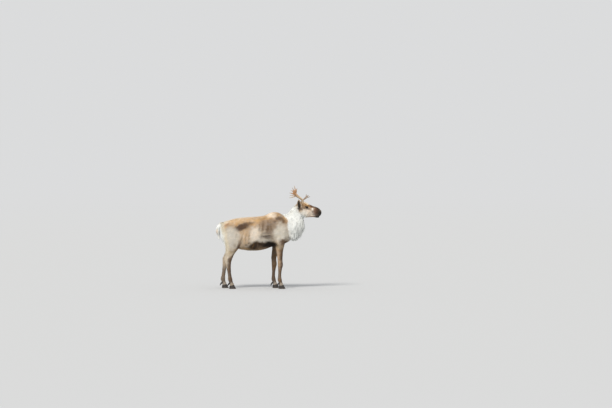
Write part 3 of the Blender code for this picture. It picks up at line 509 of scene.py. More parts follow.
seam = beyond(places, HEAD_LINE, -0.030, -0.014) * (1 - beyond(places, HEAD_LINE, 0.014, 0.030))
smooth(skin, seam[:, None], 14)

# Ears: leaf-shaped cups of gristle, thick-skinned, nearly closed round the root and open to the front
EAR_BASE = Vector((0.458, 0.050, 1.196))
EAR_TIP = Vector((0.436, 0.122, 1.302))
EAR_FACING = Vector((0.60, 0.75, -0.30))
EAR_SHELL = 0.0036
EAR_PROFILE = (
    (0.00, 0.015, 0.014),
    (0.15, 0.019, 0.017),
    (0.32, 0.025, 0.018),
    (0.52, 0.028, 0.015),
    (0.72, 0.024, 0.010),
    (0.88, 0.015, 0.0055),
    (1.00, 0.004, 0.002),
)


def ear_frame(side):
    """An ear's root, its way towards the tip, the way its cup faces, and the way across."""
    mirror = Vector((1, side, 1))
    base = EAR_BASE * mirror
    along = EAR_TIP * mirror - base
    facing = EAR_FACING * mirror
    facing = (facing - along * facing.dot(along) / along.length_squared).normalized()
    return base, along, facing, along.normalized().cross(facing)


def ear_body(side):
    base, along, facing, across = ear_frame(side)
    columns = 20
    rings = []
    for share, half_width, depth in smooth_rows(EAR_PROFILE, 4):
        centre = base + along * share - facing * 0.010 * sin(pi * share)
        reach = radians(128 - 44 * float(ramp(share, 0.0, 0.35)))
        shell = EAR_SHELL * (1 - 0.70 * float(ramp(share, 0.5, 1.0)))
        outer, inner = [], []
        for i in range(columns + 1):
            turn = reach * (2 * i / columns - 1)
            way = across * sin(turn) * half_width - facing * cos(turn) * depth
            outer.append(centre + way)
            inner.append(centre + way - way.normalized() * min(shell, way.length * 0.6))
        rings.append(outer + inner[::-1])
    return loft("ear", rings)


for side in (-1, 1):
    combine(skin, "UNION", ear_body(side), "MANIFOLD")

# Tail: a short flat core that its long hair grows from
TAIL = (
    (-0.660, 0.935, 0.022, 0.030),
    (-0.708, 0.931, 0.028, 0.038),
    (-0.739, 0.900, 0.030, 0.041),
    (-0.748, 0.850, 0.028, 0.037),
    (-0.745, 0.805, 0.020, 0.026),
    (-0.740, 0.776, 0.004, 0.006),
)
TAIL_CORE = 0.55


def tail_rows(core):
    """The tail's middle line with its frame: centre, way along, way out of its back, half sizes."""
    rows = smooth_rows(TAIL, 4)
    made = []
    for i, (x, z, thick, wide) in enumerate(rows):
        scale = 1 - (1 - core) * float(ramp(i / len(rows), 0.05, 0.40))
        ahead = rows[min(i + 1, len(rows) - 1)]
        behind = rows[max(i - 1, 0)]
        along = Vector((ahead[0] - behind[0], 0, ahead[1] - behind[1])).normalized()
        back = Vector((along.z, 0, -along.x))
        made.append((Vector((x, 0, z)), along, back, scale * thick, scale * wide))
    return made


def tail_point(row, turn):
    centre, _, back, thick, wide = row
    return centre + back * thick * sin(turn) + Vector((0, wide * cos(turn), 0))


tail_rings = [[tail_point(row, turn) for turn in turns_round(24)] for row in tail_rows(TAIL_CORE)]
combine(skin, "UNION", loft("tail_core", tail_rings), "MANIFOLD")
skin.data.shade_smooth()


class Shade:
    """A socket in a material's nodes, which adds Math nodes as it is used in an expression."""

    def __init__(self, tree, socket=None):
        self.tree = tree
        self.socket = socket

    def node(self, kind, settings=(), inputs=(), output=0):
        """One more node: its type, its settings, set first, then the values or links of its sockets."""
        made = self.tree.nodes.new("ShaderNode" + kind)
        for name, value in dict(settings).items():
            if name == "stops":
                stops = made.color_ramp.elements
                while len(stops) < len(value):
                    stops.new(1.0)
                for stop, (place, colour) in zip(stops, value):
                    stop.position = place
                    stop.color = (*colour, 1.0)
            else:
                setattr(made, name, value)
        for name, value in dict(inputs).items():
            if isinstance(value, Shade):
                self.tree.links.new(value.socket, made.inputs[name])
            else:
                made.inputs[name].default_value = value
        return Shade(self.tree, made.outputs[output])

    def maths(self, operation, *values):
        return self.node("Math", {"operation": operation}, enumerate(values))

    def __add__(self, other):
        return self.maths("ADD", self, other)

    def __sub__(self, other):
        return self.maths("SUBTRACT", self, other)

    def __rsub__(self, other):
        return self.maths("SUBTRACT", other, self)

    def __mul__(self, other):
        return self.maths("MULTIPLY", self, other)

    __radd__ = __add__
    __rmul__ = __mul__

    def ease(self, low, high):
        """0 at low and 1 at high, whichever is greater, and a smooth change between them."""
        settings = {"interpolation_type": "SMOOTHSTEP"}
        return self.node("MapRange", settings, {"Value": self, "From Min": low, "From Max": high})

    def mix(self, first, second):
        """The first colour where this is 0 and the second where it is 1."""
        colours = [c if isinstance(c, Shade) else (*c, 1.0) for c in (first, second)]
        return self.node("Mix", {"data_type": "RGBA"}, {0: self, 6: colours[0], 7: colours[1]}, 2)

    def noise(self, scale, detail=2.0, output=0):
        """Noise over a place in metres, with so many lumps to the metre."""
        return self.node("TexNoise", (), {"Vector": self, "Scale": scale, "Detail": detail}, output)

    def axis(self, name):
        return self.node("SeparateXYZ", (), {0: self}, "XYZ".index(name))

    def vector(self, operation, *others, output=0):
        return self.node("VectorMath", {"operation": operation}, enumerate((self, *others)), output)

    def length(self):
        return self.vector("LENGTH", output=1)

    def within(self, reach, pitch=0, centre=(0, 0, 0)):
        """A place seen from a centre, in units of a reach, with a pitch about the Y axis."""
        inputs = {"Vector": self, "Location": centre, "Rotation": (0, radians(pitch), 0), "Scale": reach}
        return self.node("Mapping", {"vector_type": "TEXTURE"}, inputs)

    def feed(self, shader, name):
        self.tree.links.new(self.socket, shader.inputs[name])


def new_material(name, roughness):
    """A material with its shader and a start for its nodes."""
    made = bpy.data.materials.new(name)
    made.use_nodes = True
    shader = made.node_tree.nodes["Principled BSDF"]
    shader.inputs["Roughness"].default_value = roughness
    return made, shader, Shade(made.node_tree)


# Colours of the coat
WHITE = (0.83, 0.845, 0.82)
CREAM = (0.70, 0.58, 0.43)
TAN = (0.57, 0.37, 0.19)
OCHRE = (0.43, 0.255, 0.110)
GREY_CREAM = (0.61, 0.56, 0.48)
MOUSE = (0.27, 0.20, 0.145)
BROWN = (0.17, 0.108, 0.064)
DARK = (0.048, 0.028, 0.015)
SOOT = (0.016, 0.011, 0.008)
RUSSET = (0.25, 0.105, 0.05)
# Pinkish cream of the cheek, lightened as painted light where the cheek is shaded
PINKISH_WITH_PAINTED_LIGHT = (0.84, 0.73, 0.61)
LILAC = (0.21, 0.172, 0.142)
RUMP_CREAM = (0.69, 0.62, 0.49)

# The height of the line of the back at places along it, and the trunk's colours at shares of its depth
# below that line
BACK_SPAN = (-0.72, 0.26)
BACK_HEIGHTS = (0.90, 1.15)
BACK_LINE = ((-0.69, 0.945), (-0.516, 1.025), (-0.279, 1.051), (-0.06, 1.076), (0.069, 1.125), (0.19, 1.098))
TRUNK_DEPTH = 0.50
TRUNK_STOPS = (
    (0.00, (0.74, 0.62, 0.47)),
    (0.06, (0.66, 0.47, 0.29)),
    (0.13, (0.56, 0.375, 0.205)),
    (0.22, (0.41, 0.28, 0.175)),
    (0.36, (0.47, 0.38, 0.29)),
    (0.58, (0.56, 0.49, 0.40)),
    (0.78, (0.50, 0.41, 0.31)),
    (0.90, (0.34, 0.26, 0.17)),
    (1.00, (0.44, 0.35, 0.24)),
)
# Marks in the side view: colour, X and Z of the middle, reach forward and up, pitch in degrees, softness
# of the edge, and strength
BODY_MARKS = (
    ((0.76, 0.67, 0.56), -0.180, 0.805, 0.075, 0.120, 10, 0.5, 0.95),
    ((0.68, 0.63, 0.54), 0.190, 0.845, 0.095, 0.125, 0, 0.45, 0.97),
    (TAN, -0.335, 0.790, 0.062, 0.115, 12, 0.9, 0.65),
    (BROWN, -0.375, 0.760, 0.008, 0.075, 16, 0.8, 0.45),
    (CREAM, -0.350, 0.770, 0.008, 0.080, 14, 0.8, 0.50),
    (BROWN, -0.322, 0.760, 0.007, 0.070, 14, 0.8, 0.40),
    (BROWN, -0.265, 0.800, 0.008, 0.085, 14, 0.8, 0.45),
    (TAN, -0.185, 0.965, 0.030, 0.045, 0, 0.7, 0.70),
    (MOUSE, -0.060, 0.925, 0.060, 0.080, 8, 0.55, 0.85),
    (MOUSE, 0.035, 0.900, 0.045, 0.100, 8, 0.55, 0.90),
    (CREAM, -0.130, 0.900, 0.007, 0.060, 4, 0.8, 0.55),
    (BROWN, -0.112, 0.920, 0.006, 0.055, 4, 0.8, 0.55),
    (CREAM, -0.088, 0.905, 0.006, 0.055, 6, 0.8, 0.50),
    (BROWN, -0.058, 0.920, 0.009, 0.070, 4, 0.8, 0.75),
    (CREAM, -0.034, 0.880, 0.005, 0.040, 4, 0.8, 0.45),
    (BROWN, 0.000, 0.910, 0.020, 0.075, 6, 0.7, 0.85),
    (BROWN, 0.045, 0.920, 0.009, 0.060, 6, 0.8, 0.75),
    (MOUSE, 0.100, 0.950, 0.030, 0.045, 0, 0.8, 0.70),
    (LILAC, 0.000, 0.785, 0.090, 0.042, 0, 0.6, 0.85),
    (GREY_CREAM, -0.050, 0.725, 0.120, 0.022, -2, 0.6, 0.85),
    # A painted shadow line along a fold of the hide
    (DARK, -0.015, 0.782, 0.075, 0.0045, -3, 0.8, 0.70),
    (BROWN, 0.000, 0.830, 0.060, 0.0045, -5, 0.8, 0.60),
    (CREAM, 0.000, 0.806, 0.080, 0.0050, -4, 0.8, 0.50),
    ((0.092, 0.058, 0.040), -0.380, 0.916, 0.112, 0.037, -18, 0.5, 1.00),
    (BROWN, -0.265, 0.955, 0.070, 0.014, -16, 0.8, 0.75),
    (BROWN, -0.450, 0.865, 0.040, 0.020, -10, 0.8, 0.60),
    (RUSSET, -0.585, 0.945, 0.030, 0.022, -30, 0.8, 0.65),
    (BROWN, -0.535, 0.925, 0.040, 0.014, -24, 0.8, 0.60),
    (MOUSE, 0.185, 1.025, 0.078, 0.050, 22, 0.5, 0.90),
    (BROWN, 0.160, 1.042, 0.045, 0.020, 0, 0.6, 0.90),
    (BROWN, 0.235, 1.005, 0.040, 0.020, 48, 0.6, 0.95),
    (BROWN, 0.112, 0.992, 0.020, 0.016, -20, 0.8, 0.80),
    (GREY_CREAM, 0.178, 0.985, 0.028, 0.018, 10, 0.8, 0.60),
    (TAN, 0.150, 1.088, 0.040, 0.014, 14, 0.8, 0.90),
    ((0.86, 0.73, 0.58), 0.055, 1.085, 0.055, 0.036, 6, 0.7, 0.95),
    (OCHRE, -0.050, 1.020, 0.045, 0.022, -20, 0.9, 0.55),
    (GREY_CREAM, -0.520, 0.760, 0.105, 0.160, 0, 0.4, 0.95),
    (MOUSE, -0.500, 0.665, 0.030, 0.022, 0, 1.0, 0.45),
    (MOUSE, -0.470, 0.800, 0.010, 0.070, 10, 1.0, 0.35),
    (BROWN, -0.442, 0.625, 0.026, 0.110, 32, 0.6, 1.00),
    (OCHRE, -0.370, 0.590, 0.110, 0.026, 6, 0.7, 0.85),
    (BROWN, -0.330, 0.572, 0.140, 0.014, 2, 0.6, 0.90),
    # Dark low on the flank: partly the coat's dark lower band, partly painted shade under the belly
    ((0.060, 0.036, 0.020), -0.125, 0.640, 0.160, 0.070, -4, 0.30, 1.00),
    (OCHRE, -0.150, 0.640, 0.005, 0.050, 6, 0.9, 0.35),
    (OCHRE, -0.210, 0.640, 0.006, 0.045, 8, 0.9, 0.40),
    # Near-black behind the elbow: the dark lower band deepened with painted shade between leg and chest
    (SOOT, 0.035, 0.660, 0.090, 0.062, 0, 0.35, 1.00),
    (BROWN, 0.232, 0.700, 0.065, 0.040, -12, 0.5, 1.00),
    (DARK, -0.328, 0.676, 0.018, 0.014, 0, 0.8, 0.80),
    (DARK, -0.288, 0.702, 0.016, 0.012, 0, 0.8, 0.70),
    (RUMP_CREAM, -0.660, 0.850, 0.060, 0.240, -8, 0.5, 1.00),
    (WHITE, -0.708, 0.820, 0.046, 0.250, -8, 0.4, 1.00),
    (RUMP_CREAM, -0.620, 0.620, 0.040, 0.180, 0, 0.5, 0.90),
    (WHITE, -0.655, 0.620, 0.026, 0.170, 6, 0.5, 0.90),
)
HEAD_MARKS = (
    # The cheek's pinkish cream, with painted light over its shade
    (PINKISH_WITH_PAINTED_LIGHT, 0.585, 1.115, 0.080, 0.058, 15, 0.5, 0.95),
    ((0.86, 0.82, 0.74), 0.510, 1.090, 0.050, 0.060, 10, 0.6, 0.90),
    (OCHRE, 0.520, 1.225, 0.045, 0.036, 24, 0.5, 0.90),
    (OCHRE, 0.585, 1.212, 0.050, 0.016, 24, 0.6, 0.90),
    (BROWN, 0.488, 1.235, 0.012, 0.045, -10, 0.8, 0.75),
    (CREAM, 0.472, 1.240, 0.006, 0.035, -12, 0.8, 0.60),
    (DARK, 0.450, 1.203, 0.020, 0.044, -8, 0.6, 0.97),
    (BROWN, 0.474, 1.172, 0.026, 0.018, 0, 0.7, 0.90),
    (BROWN, 0.555, 1.180, 0.065, 0.010, 12, 0.7, 0.92),
    (BROWN, 0.540, 1.214, 0.032, 0.006, 20, 0.7, 0.80),
    ((0.90, 0.79, 0.62), 0.562, 1.256, 0.062, 0.017, 26, 0.4, 1.00),
    ((0.165, 0.085, 0.045), 0.632, 1.210, 0.040, 0.020, 22, 0.6, 0.90),
    (RUSSET, 0.615, 1.214, 0.014, 0.010, 24, 0.8, 0.60),
    ((0.205, 0.112, 0.076), 0.690, 1.132, 0.040, 0.070, 8, 0.6, 0.92),
    ((0.064, 0.036, 0.023), 0.724, 1.125, 0.037, 0.082, 6, 0.6, 0.95),
    (DARK, 0.705, 1.192, 0.050, 0.018, 22, 0.7, 0.90),
    (SOOT, 0.758, 1.098, 0.036, 0.054, -10, 0.6, 0.95),
    (SOOT, 0.722, 1.054, 0.052, 0.016, 0, 0.5, 0.95),
    ((0.92, 0.87, 0.80), 0.643, 1.168, 0.013, 0.019, -6, 0.6, 1.00),
    ((0.20, 0.15, 0.13), 0.646, 1.132, 0.015, 0.016, 0, 0.9, 0.65),
    (RUSSET, 0.622, 1.058, 0.040, 0.008, -4, 0.8, 0.90),
    (SOOT, 0.446, 1.190, 0.012, 0.024, -14, 0.7, 0.85),
    (DARK, 0.557, 1.199, 0.027, 0.0150, 22, 0.45, 0.95),
    (GREY_CREAM, 0.553, 1.1795, 0.022, 0.0040, 20, 0.7, 0.60),
)


def painted(place, ground, marks):
    """A ground colour with marks laid over it one after another."""
    for colour, x, z, forward, up, pitch, edge, strength in marks:
        distance = place.within((forward, 100.0, up), pitch, (x, 0, z)).length()
        ground = (distance.ease(1 + edge, 1 - edge) * strength).mix(ground, colour)
    return ground


def drifted(place, scale, reach):
    """The place, moved about by noise as far as the reach."""
    drift = place.noise(scale, 3.0, 1).vector("SUBTRACT", (0.5, 0.5, 0.5))
    return place.vector("ADD", drift.vector("MULTIPLY", (2 * reach,) * 3))


def coat_colours(place, bare):
    """The markings that skin and coat share, at a place on the skin. Bare is 1 on naked dark skin, near 1
    where shade is painted inside the ears, and -1 along their pale rims."""
    rough = drifted(drifted(place, 7.0, 0.045), 32.0, 0.018)
    x, y, z = place.axis("X"), place.axis("Y"), place.axis("Z")
    side = y.maths("ABSOLUTE", y)
    rough_x, rough_z = rough.axis("X"), rough.axis("Z")

    span, heights = BACK_SPAN[1] - BACK_SPAN[0], BACK_HEIGHTS[1] - BACK_HEIGHTS[0]
    stops = [((bx - BACK_SPAN[0]) / span, ((bz - BACK_HEIGHTS[0]) / heights,) * 3) for bx, bz in BACK_LINE]
    back = place.node("ValToRGB", {"stops": stops}, {"Fac": (x - BACK_SPAN[0]) * (1 / span)})
    back = back.axis("X") * heights + BACK_HEIGHTS[0]
    depth = (back - rough_z) * (1 / TRUNK_DEPTH)
    trunk = place.node("ValToRGB", {"stops": TRUNK_STOPS}, {"Fac": depth})
    trunk = painted(rough, trunk, BODY_MARKS)
    under = side.ease(0.12, 0.03) * z.ease(0.66, 0.60) * x.ease(-0.05, -0.22)
    trunk = (under * 0.8).mix(trunk, (0.60, 0.52, 0.40))

    # Far legs darker: partly their own colour, partly painted shade on the side away from the lamp
    far = y.ease(0.0, 0.05)
    fore = rough_x.ease(-0.20, -0.10)
    fore_colour = rough_x.ease(0.140, 0.185).mix((0.45, 0.315, 0.200), (0.130, 0.080, 0.052))
    fore_colour = (far * 0.7).mix(fore_colour, DARK)
    hind_front = (rough_x + 0.425 + z.ease(0.64, 0.40) * 0.135).ease(-0.062, -0.018)
    hind_colour = (hind_front * 0.95).mix((0.60, 0.51, 0.40), (0.115, 0.070, 0.042))
    hind_colour = (far * 0.4).mix(hind_colour, BROWN)
    leg = fore.mix(hind_colour, fore_colour)
    leg = (z.ease(0.40, 0.26) * 0.7).mix(leg, (0.125, 0.085, 0.060))
    leg = (z.ease(0.115, 0.085) * 0.8).mix(leg, (0.44, 0.37, 0.29))
    on_leg = fore * rough_z.ease(0.66, 0.56) + (1 - fore) * rough_z.ease(0.60, 0.44)
    colour = on_leg.mix(trunk, leg)

    edge = 0.298 + z.ease(0.82, 0.70) * 0.032 - z.ease(1.03, 1.09) * 0.110
    on_neck = (rough_x - edge).ease(-0.014, 0.014)
    neck = (place.noise(14.0, 4.0).ease(0.45, 0.75) * 0.30).mix(WHITE, (0.74, 0.70, 0.62))
    colour = on_neck.mix(colour, neck)

    near = drifted(place, 60.0, 0.006)
    # The lower face's pale ground is partly its own cream and partly painted light on the shaded cheeks
    face = z.ease(1.15, 1.08).mix((0.60, 0.47, 0.34), (0.82, 0.76, 0.66))
    face = painted(near, face, HEAD_MARKS)
    on_head = (near.axis("X") + (z - 1.25) * 0.488 - z.ease(1.13, 1.05) * 0.045).ease(0.378, 0.420)
    colour = on_head.mix(colour, face)
    colour = (bare * -1).ease(0.2, 1.0).mix(colour, (0.62, 0.53, 0.41))
    # Dark on naked skin, and as painted shade inside the ears
    return bare.ease(0.0, 1.0).mix(colour, (0.030, 0.020, 0.015))


def coat_material(name, root_tone_and_shade):
    """Hair over the hide: the shared markings, streaked along the lie, with each tuft lighter or darker."""
    made, shader, start = new_material(name, 0.8)
    place = start.node("Attribute", {"attribute_name": "root"}, (), 1)
    strand = start.node("Attribute", {"attribute_name": "strand"}, (), 1)
    bare = start.node("Attribute", {"attribute_name": "bare"}, (), 2)
    streaks = place.within((0.16, 0.05, 0.022), -22).noise(1.0, 4.0)
    share = strand.axis("Y")
    along = start.node("CombineXYZ", (), {0: strand.axis("X"), 1: share * 0.12, 2: strand.axis("Z") * 40})
    hairs = along.noise(4.5, 3.0)
    folds = place.within((0.020, 0.05, 0.11), 12).noise(1.0, 3.0)
    tone = place.noise(30.0, 4.0) * 0.40 + streaks * 0.46 + folds * 0.50 + strand.axis("Z") * 0.32
    value = 0.38 + tone * 0.74 + (hairs - 0.5) * 0.42
    # Tufts darken towards their roots: partly darker underfur, partly painted shade deep in the coat
    value = value * (share.ease(0.0, 0.7) * (1 - root_tone_and_shade) + root_tone_and_shade)
    richness = 0.45 + place.noise(21.0, 3.0) * 1.1
    settings = {"Color": coat_colours(place, bare), "Saturation": richness, "Value": value}
    colour = start.node("HueSaturation", (), settings)
    colour.feed(shader, "Base Color")
    (0.82 - bare.ease(0.3, 1.0) * 0.42).feed(shader, "Roughness")
    bump = start.node("Bump", (), {"Height": hairs, "Strength": 0.35, "Distance": 0.0006})
    bump.feed(shader, "Normal")
    shader.inputs["Specular IOR Level"].default_value = 0.25
    return made


HIDE = coat_material("hide", 0.96)
skin.data.materials.clear()
skin.data.materials.append(HIDE)


def unit(vectors):
    return vectors / np.maximum(np.linalg.norm(vectors, axis=-1, keepdims=True), 1e-9)


def ear_arrays(side):
    return [np.array(way) for way in ear_frame(side)]


def ear_place(points, side):
    """Whether points lie on an ear, and how far along it and, in half widths, across it."""
    base, along, facing, across = ear_arrays(side)
    offset = points - base
    share = offset @ along / (along @ along)
    profile = np.array(EAR_PROFILE)
    half = np.interp(share, profile[:, 0], profile[:, 1])
    over = offset @ across / half
    on = (share > 0.06) & (share < 1.15) & (np.abs(over) < 1.5) & (np.abs(offset @ facing) < 0.034)
    return on, share, over


def bareness_and_shade(points, normals):
    """1 on naked dark skin, which is in the eyes' lids, nostrils and mouth, near 1 as painted shade inside
    the ears, and -1 on the ears' pale rims."""
    x, y, z = points.T
    mouth_x, mouth_z = np.array(MOUTH_LINE)[::-1].T
    from_mouth = np.abs(z - np.interp(x, mouth_x, mouth_z))
    corner = MOUTH_LINE[-1][0]
    made = (1 - ramp(from_mouth, 0.0010, 0.0042)) * ramp(x, corner - 0.004, corner + 0.02)
    for side in (-1, 1):
        local = np.array(eye_place(side).inverted())
        forward, up, out = (points @ local[:3, :3].T + local[:3, 3]).T
        up = up * side
        reach = np.hypot(forward / 0.0215, up / np.where(up > 0, 0.0150, 0.0120))
        made = np.maximum(made, (1 - ramp(reach, 0.92, 1.08)) * (out > 0) * (out < 0.04))
        for nostril in NOSTRILS:
            gap = np.linalg.norm(points - np.array(nostril.centre) * (1, side, 1), axis=1)
            made = np.maximum(made, 1 - ramp(gap, 0.0085, 0.0125))
        # Painted shade inside each ear's cup, fading towards the tip
        on, share, over = ear_place(points, side)
        inside = ramp(normals @ ear_arrays(side)[2], 0.05, 0.45) * (1 - ramp(np.abs(over), 0.70, 0.95))
        inside *= ramp(share, 0.04, 0.20) * (0.84 - 0.25 * ramp(share, 0.6, 1.0))
        made = np.where(on, np.maximum(made, inside), made)
        rim = ramp(np.abs(over), 0.72, 0.92) * ramp(share, 0.25, 0.50)
        made = np.where(on & (made < 0.5), -rim, made)
    return made


def write_attribute(mesh, name, values):
    """Keep a number, or a row of three, at each of a mesh's points."""
    kind, key = ("FLOAT_VECTOR", "vector") if values.ndim > 1 else ("FLOAT", "value")
    mesh.attributes.new(name, kind, "POINT").data.foreach_set(key, values.astype(np.float32).ravel())


skin_points = points_of(skin)
skin_normals = normals_of(skin)
write_attribute(skin.data, "root", skin_points)
write_attribute(skin.data, "strand", np.tile((0.0, 0.3, 0.5), (len(skin_points), 1)))
write_attribute(skin.data, "bare", bareness_and_shade(skin_points, skin_normals))
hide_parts("head", "neck", "torso", "tail", "ear_left", "ear_right")
for leg in LEGS:
    half, side_name = leg.name.split("_")
    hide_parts(f"{half}_upper_{side_name}", f"{half}_lower_{side_name}")
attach(skin, "root")

# The coat
# Winter hair lies backward along the trunk and down the neck and legs, in overlapping tufts that are
# longest on the neck and shortest on the face. Each tuft is a thin closed spike with three sides, rooted
# in the hide, and the longer ones bend to follow it.

# How deep a tuft's foot is sunk in the hide, how far it strays from the lie, in radians, and how high its
# ridge stands, as a share of its width
SINK = 0.0015
STRAY = 0.15
RIDGE = 0.16
# For a tuft of one, two or four steps, its breadth at each step but the tip, and how light its foot is,
# as a share of the way to the tip's tone, its darker foot being partly underfur and partly painted shade
TAPERS = {1: (1.0,), 2: (0.70, 1.0), 4: (0.28, 1.0, 0.88, 0.54)}
ROOT_SHARES = {1: 0.40, 2: 0.10, 4: 0.0}
# The ears' row of tuft sizes, and where no hair grows at the hooves and under the antlers
EAR_COAT = (0.011, 0.0023, 3.0, 0.1)
HOOF_TOP = 0.048
ANTLER_ROOT = np.array((0.496, 0.038, 1.268))
ANTLER_ROOT_RADIUS = 0.012


def on_ears(points):
    return ear_place(points, -1)[0] | ear_place(points, 1)[0]


def on_tail(points):
    return (points[:, 0] < -0.70) & (np.abs(points[:, 1]) < 0.045) & (points[:, 2] > 0.74)


def coat_sizes(points):
    """Each tuft's length and width, how many tufts deep the coat lies, and how it gathers into locks."""
    return np.where(on_ears(points)[:, None], EAR_COAT, by_place(points)[:, 1:5])


def coat_rise(points):
    """How far the tufts' ends stand off the skin: further on the nape and down the backs of the thighs."""
    x, _, z = points.T
    nape = beyond(points, HEAD_LINE, -0.16, -0.04) * ramp(z, 1.10, 1.18)
    nape *= 1 - beyond(points, HEAD_LINE, 0.0, 0.03)
    buttock = (1 - ramp(x, -0.64, -0.56)) * ramp(z, 0.46, 0.60)
    return coat_depth(points) * (1 + 0.9 * nape + 1.3 * buttock)


def flat_on(vectors, normals):
    """Directions turned to lie along the surface."""
    return unit(vectors - normals * (vectors * normals).sum(1)[:, None])


def coat_lie(points, normals):
    """The way that the coat lies at each place on the skin."""
    x, _, z = points.T
    forward, up = by_place(points)[:, 5:].T
    forward = forward + 0.16 * np.sin(9.0 * z + 5.0 * x) * np.sin(7.0 * x + 1.0)
    up = up + (0.14 * np.sin(11.0 * x + 3.0 * z) + 0.08 * np.sin(27.0 * x + 19.0 * z))
    way = np.stack([forward, 0 * up, up], 1)
    for side in (-1, 1):
        on, _, over = ear_place(points, side)
        _, along, _, across = ear_arrays(side)
        way[on] = (unit(along) + across * 0.35 * over[:, None])[on]
    way[on_tail(points)] = (-0.25, 0, -1.0)
    return flat_on(way, normals)


skin.data.calc_loop_triangles()
skin_triangles = read(skin.data.loop_triangles, "vertices", 3, int)
skin_tree = BVHTree.FromPolygons(skin_points.tolist(), skin_triangles.tolist())


def nearest_on_skin(points):
    """The closest place on the skin to each point, and the skin's normal there."""
    places, normals = np.empty_like(points), np.empty_like(points)
    for i, point in enumerate(points.tolist()):
        place, normal, _, _ = skin_tree.find_nearest(point)
        places[i] = place
        normals[i] = normal
    return places, normals


def hairless(points, normals):
    """Where no hair is rooted: on naked skin, under the antlers and in the hooves."""
    made = (bareness_and_shade(points, normals) > 0.5) & ~on_ears(points)
    made |= points[:, 2] < HOOF_TOP
    for side in (-1, 1):
        made |= np.linalg.norm(points - ANTLER_ROOT * (1, side, 1), axis=1) < ANTLER_ROOT_RADIUS
    return made


def scatter_roots():
    """Roots spread evenly over the skin, as many as the tufts' size and the cover there ask for."""
    corners = skin_points[skin_triangles]
    first, second, third = corners.swapaxes(0, 1)
    areas = np.linalg.norm(np.cross(second - first, third - first), axis=1) / 2
    length, width, cover, _ = coat_sizes(corners.mean(1)).T
    counts = np.floor(areas * cover / (0.6 * length * width) + rng.random(len(areas))).astype(int)
    which = np.repeat(np.arange(len(areas)), counts)
    a, b = rng.random((2, len(which)))
    over = a + b > 1
    a[over] = 1 - a[over]
    b[over] = 1 - b[over]
    shares = np.stack([1 - a - b, a, b], 1)[:, :, None]
    roots = (corners[which] * shares).sum(1)
    normals = unit((skin_normals[skin_triangles[which]] * shares).sum(1))
    kept = ~hairless(roots, normals)
    return roots[kept], normals[kept]


def follow_skin(roots, normals, lengths, rises, steps):
    """Each tuft's path from just under the hide to its tip, along the lie of the coat."""
    turn = rng.normal(0, STRAY, len(roots))[:, None]
    path = [roots - normals * SINK]
    place, out = roots, normals
    for step in range(1, steps + 1):
        way = coat_lie(place, out)
        turned = way * np.cos(turn) + np.cross(out, way) * np.sin(turn)
        place, out = nearest_on_skin(place + turned * (lengths / steps)[:, None])
        height = rises * (1 - (1 - step / steps) ** 1.8)
        path.append(place + out * height[:, None])
    return np.array(path)


def tree_of(places):
    tree = KDTree(len(places))
    for i, place in enumerate(places):
        tree.insert(place, i)
    tree.balance()
    return tree


def gathered(path, every, pull):
    """Draw the ends of neighbouring tufts together into locks of about so many."""
    middles = np.flatnonzero(rng.random(path.shape[1]) < 1 / every)
    tree = tree_of(path[0, middles])
    nearest = middles[[tree.find(root)[1] for root in path[0].tolist()]]
    apart = np.linalg.norm(path[0] - path[0, nearest], axis=1)
    pull = np.where(apart < 0.03, pull, 0.0)
    made = path.copy()
    for step in range(1, len(path)):
        strength = pull * (step / (len(path) - 1)) ** 1.5
        made[step] += (path[step, nearest] - path[step]) * strength[:, None]
    return made


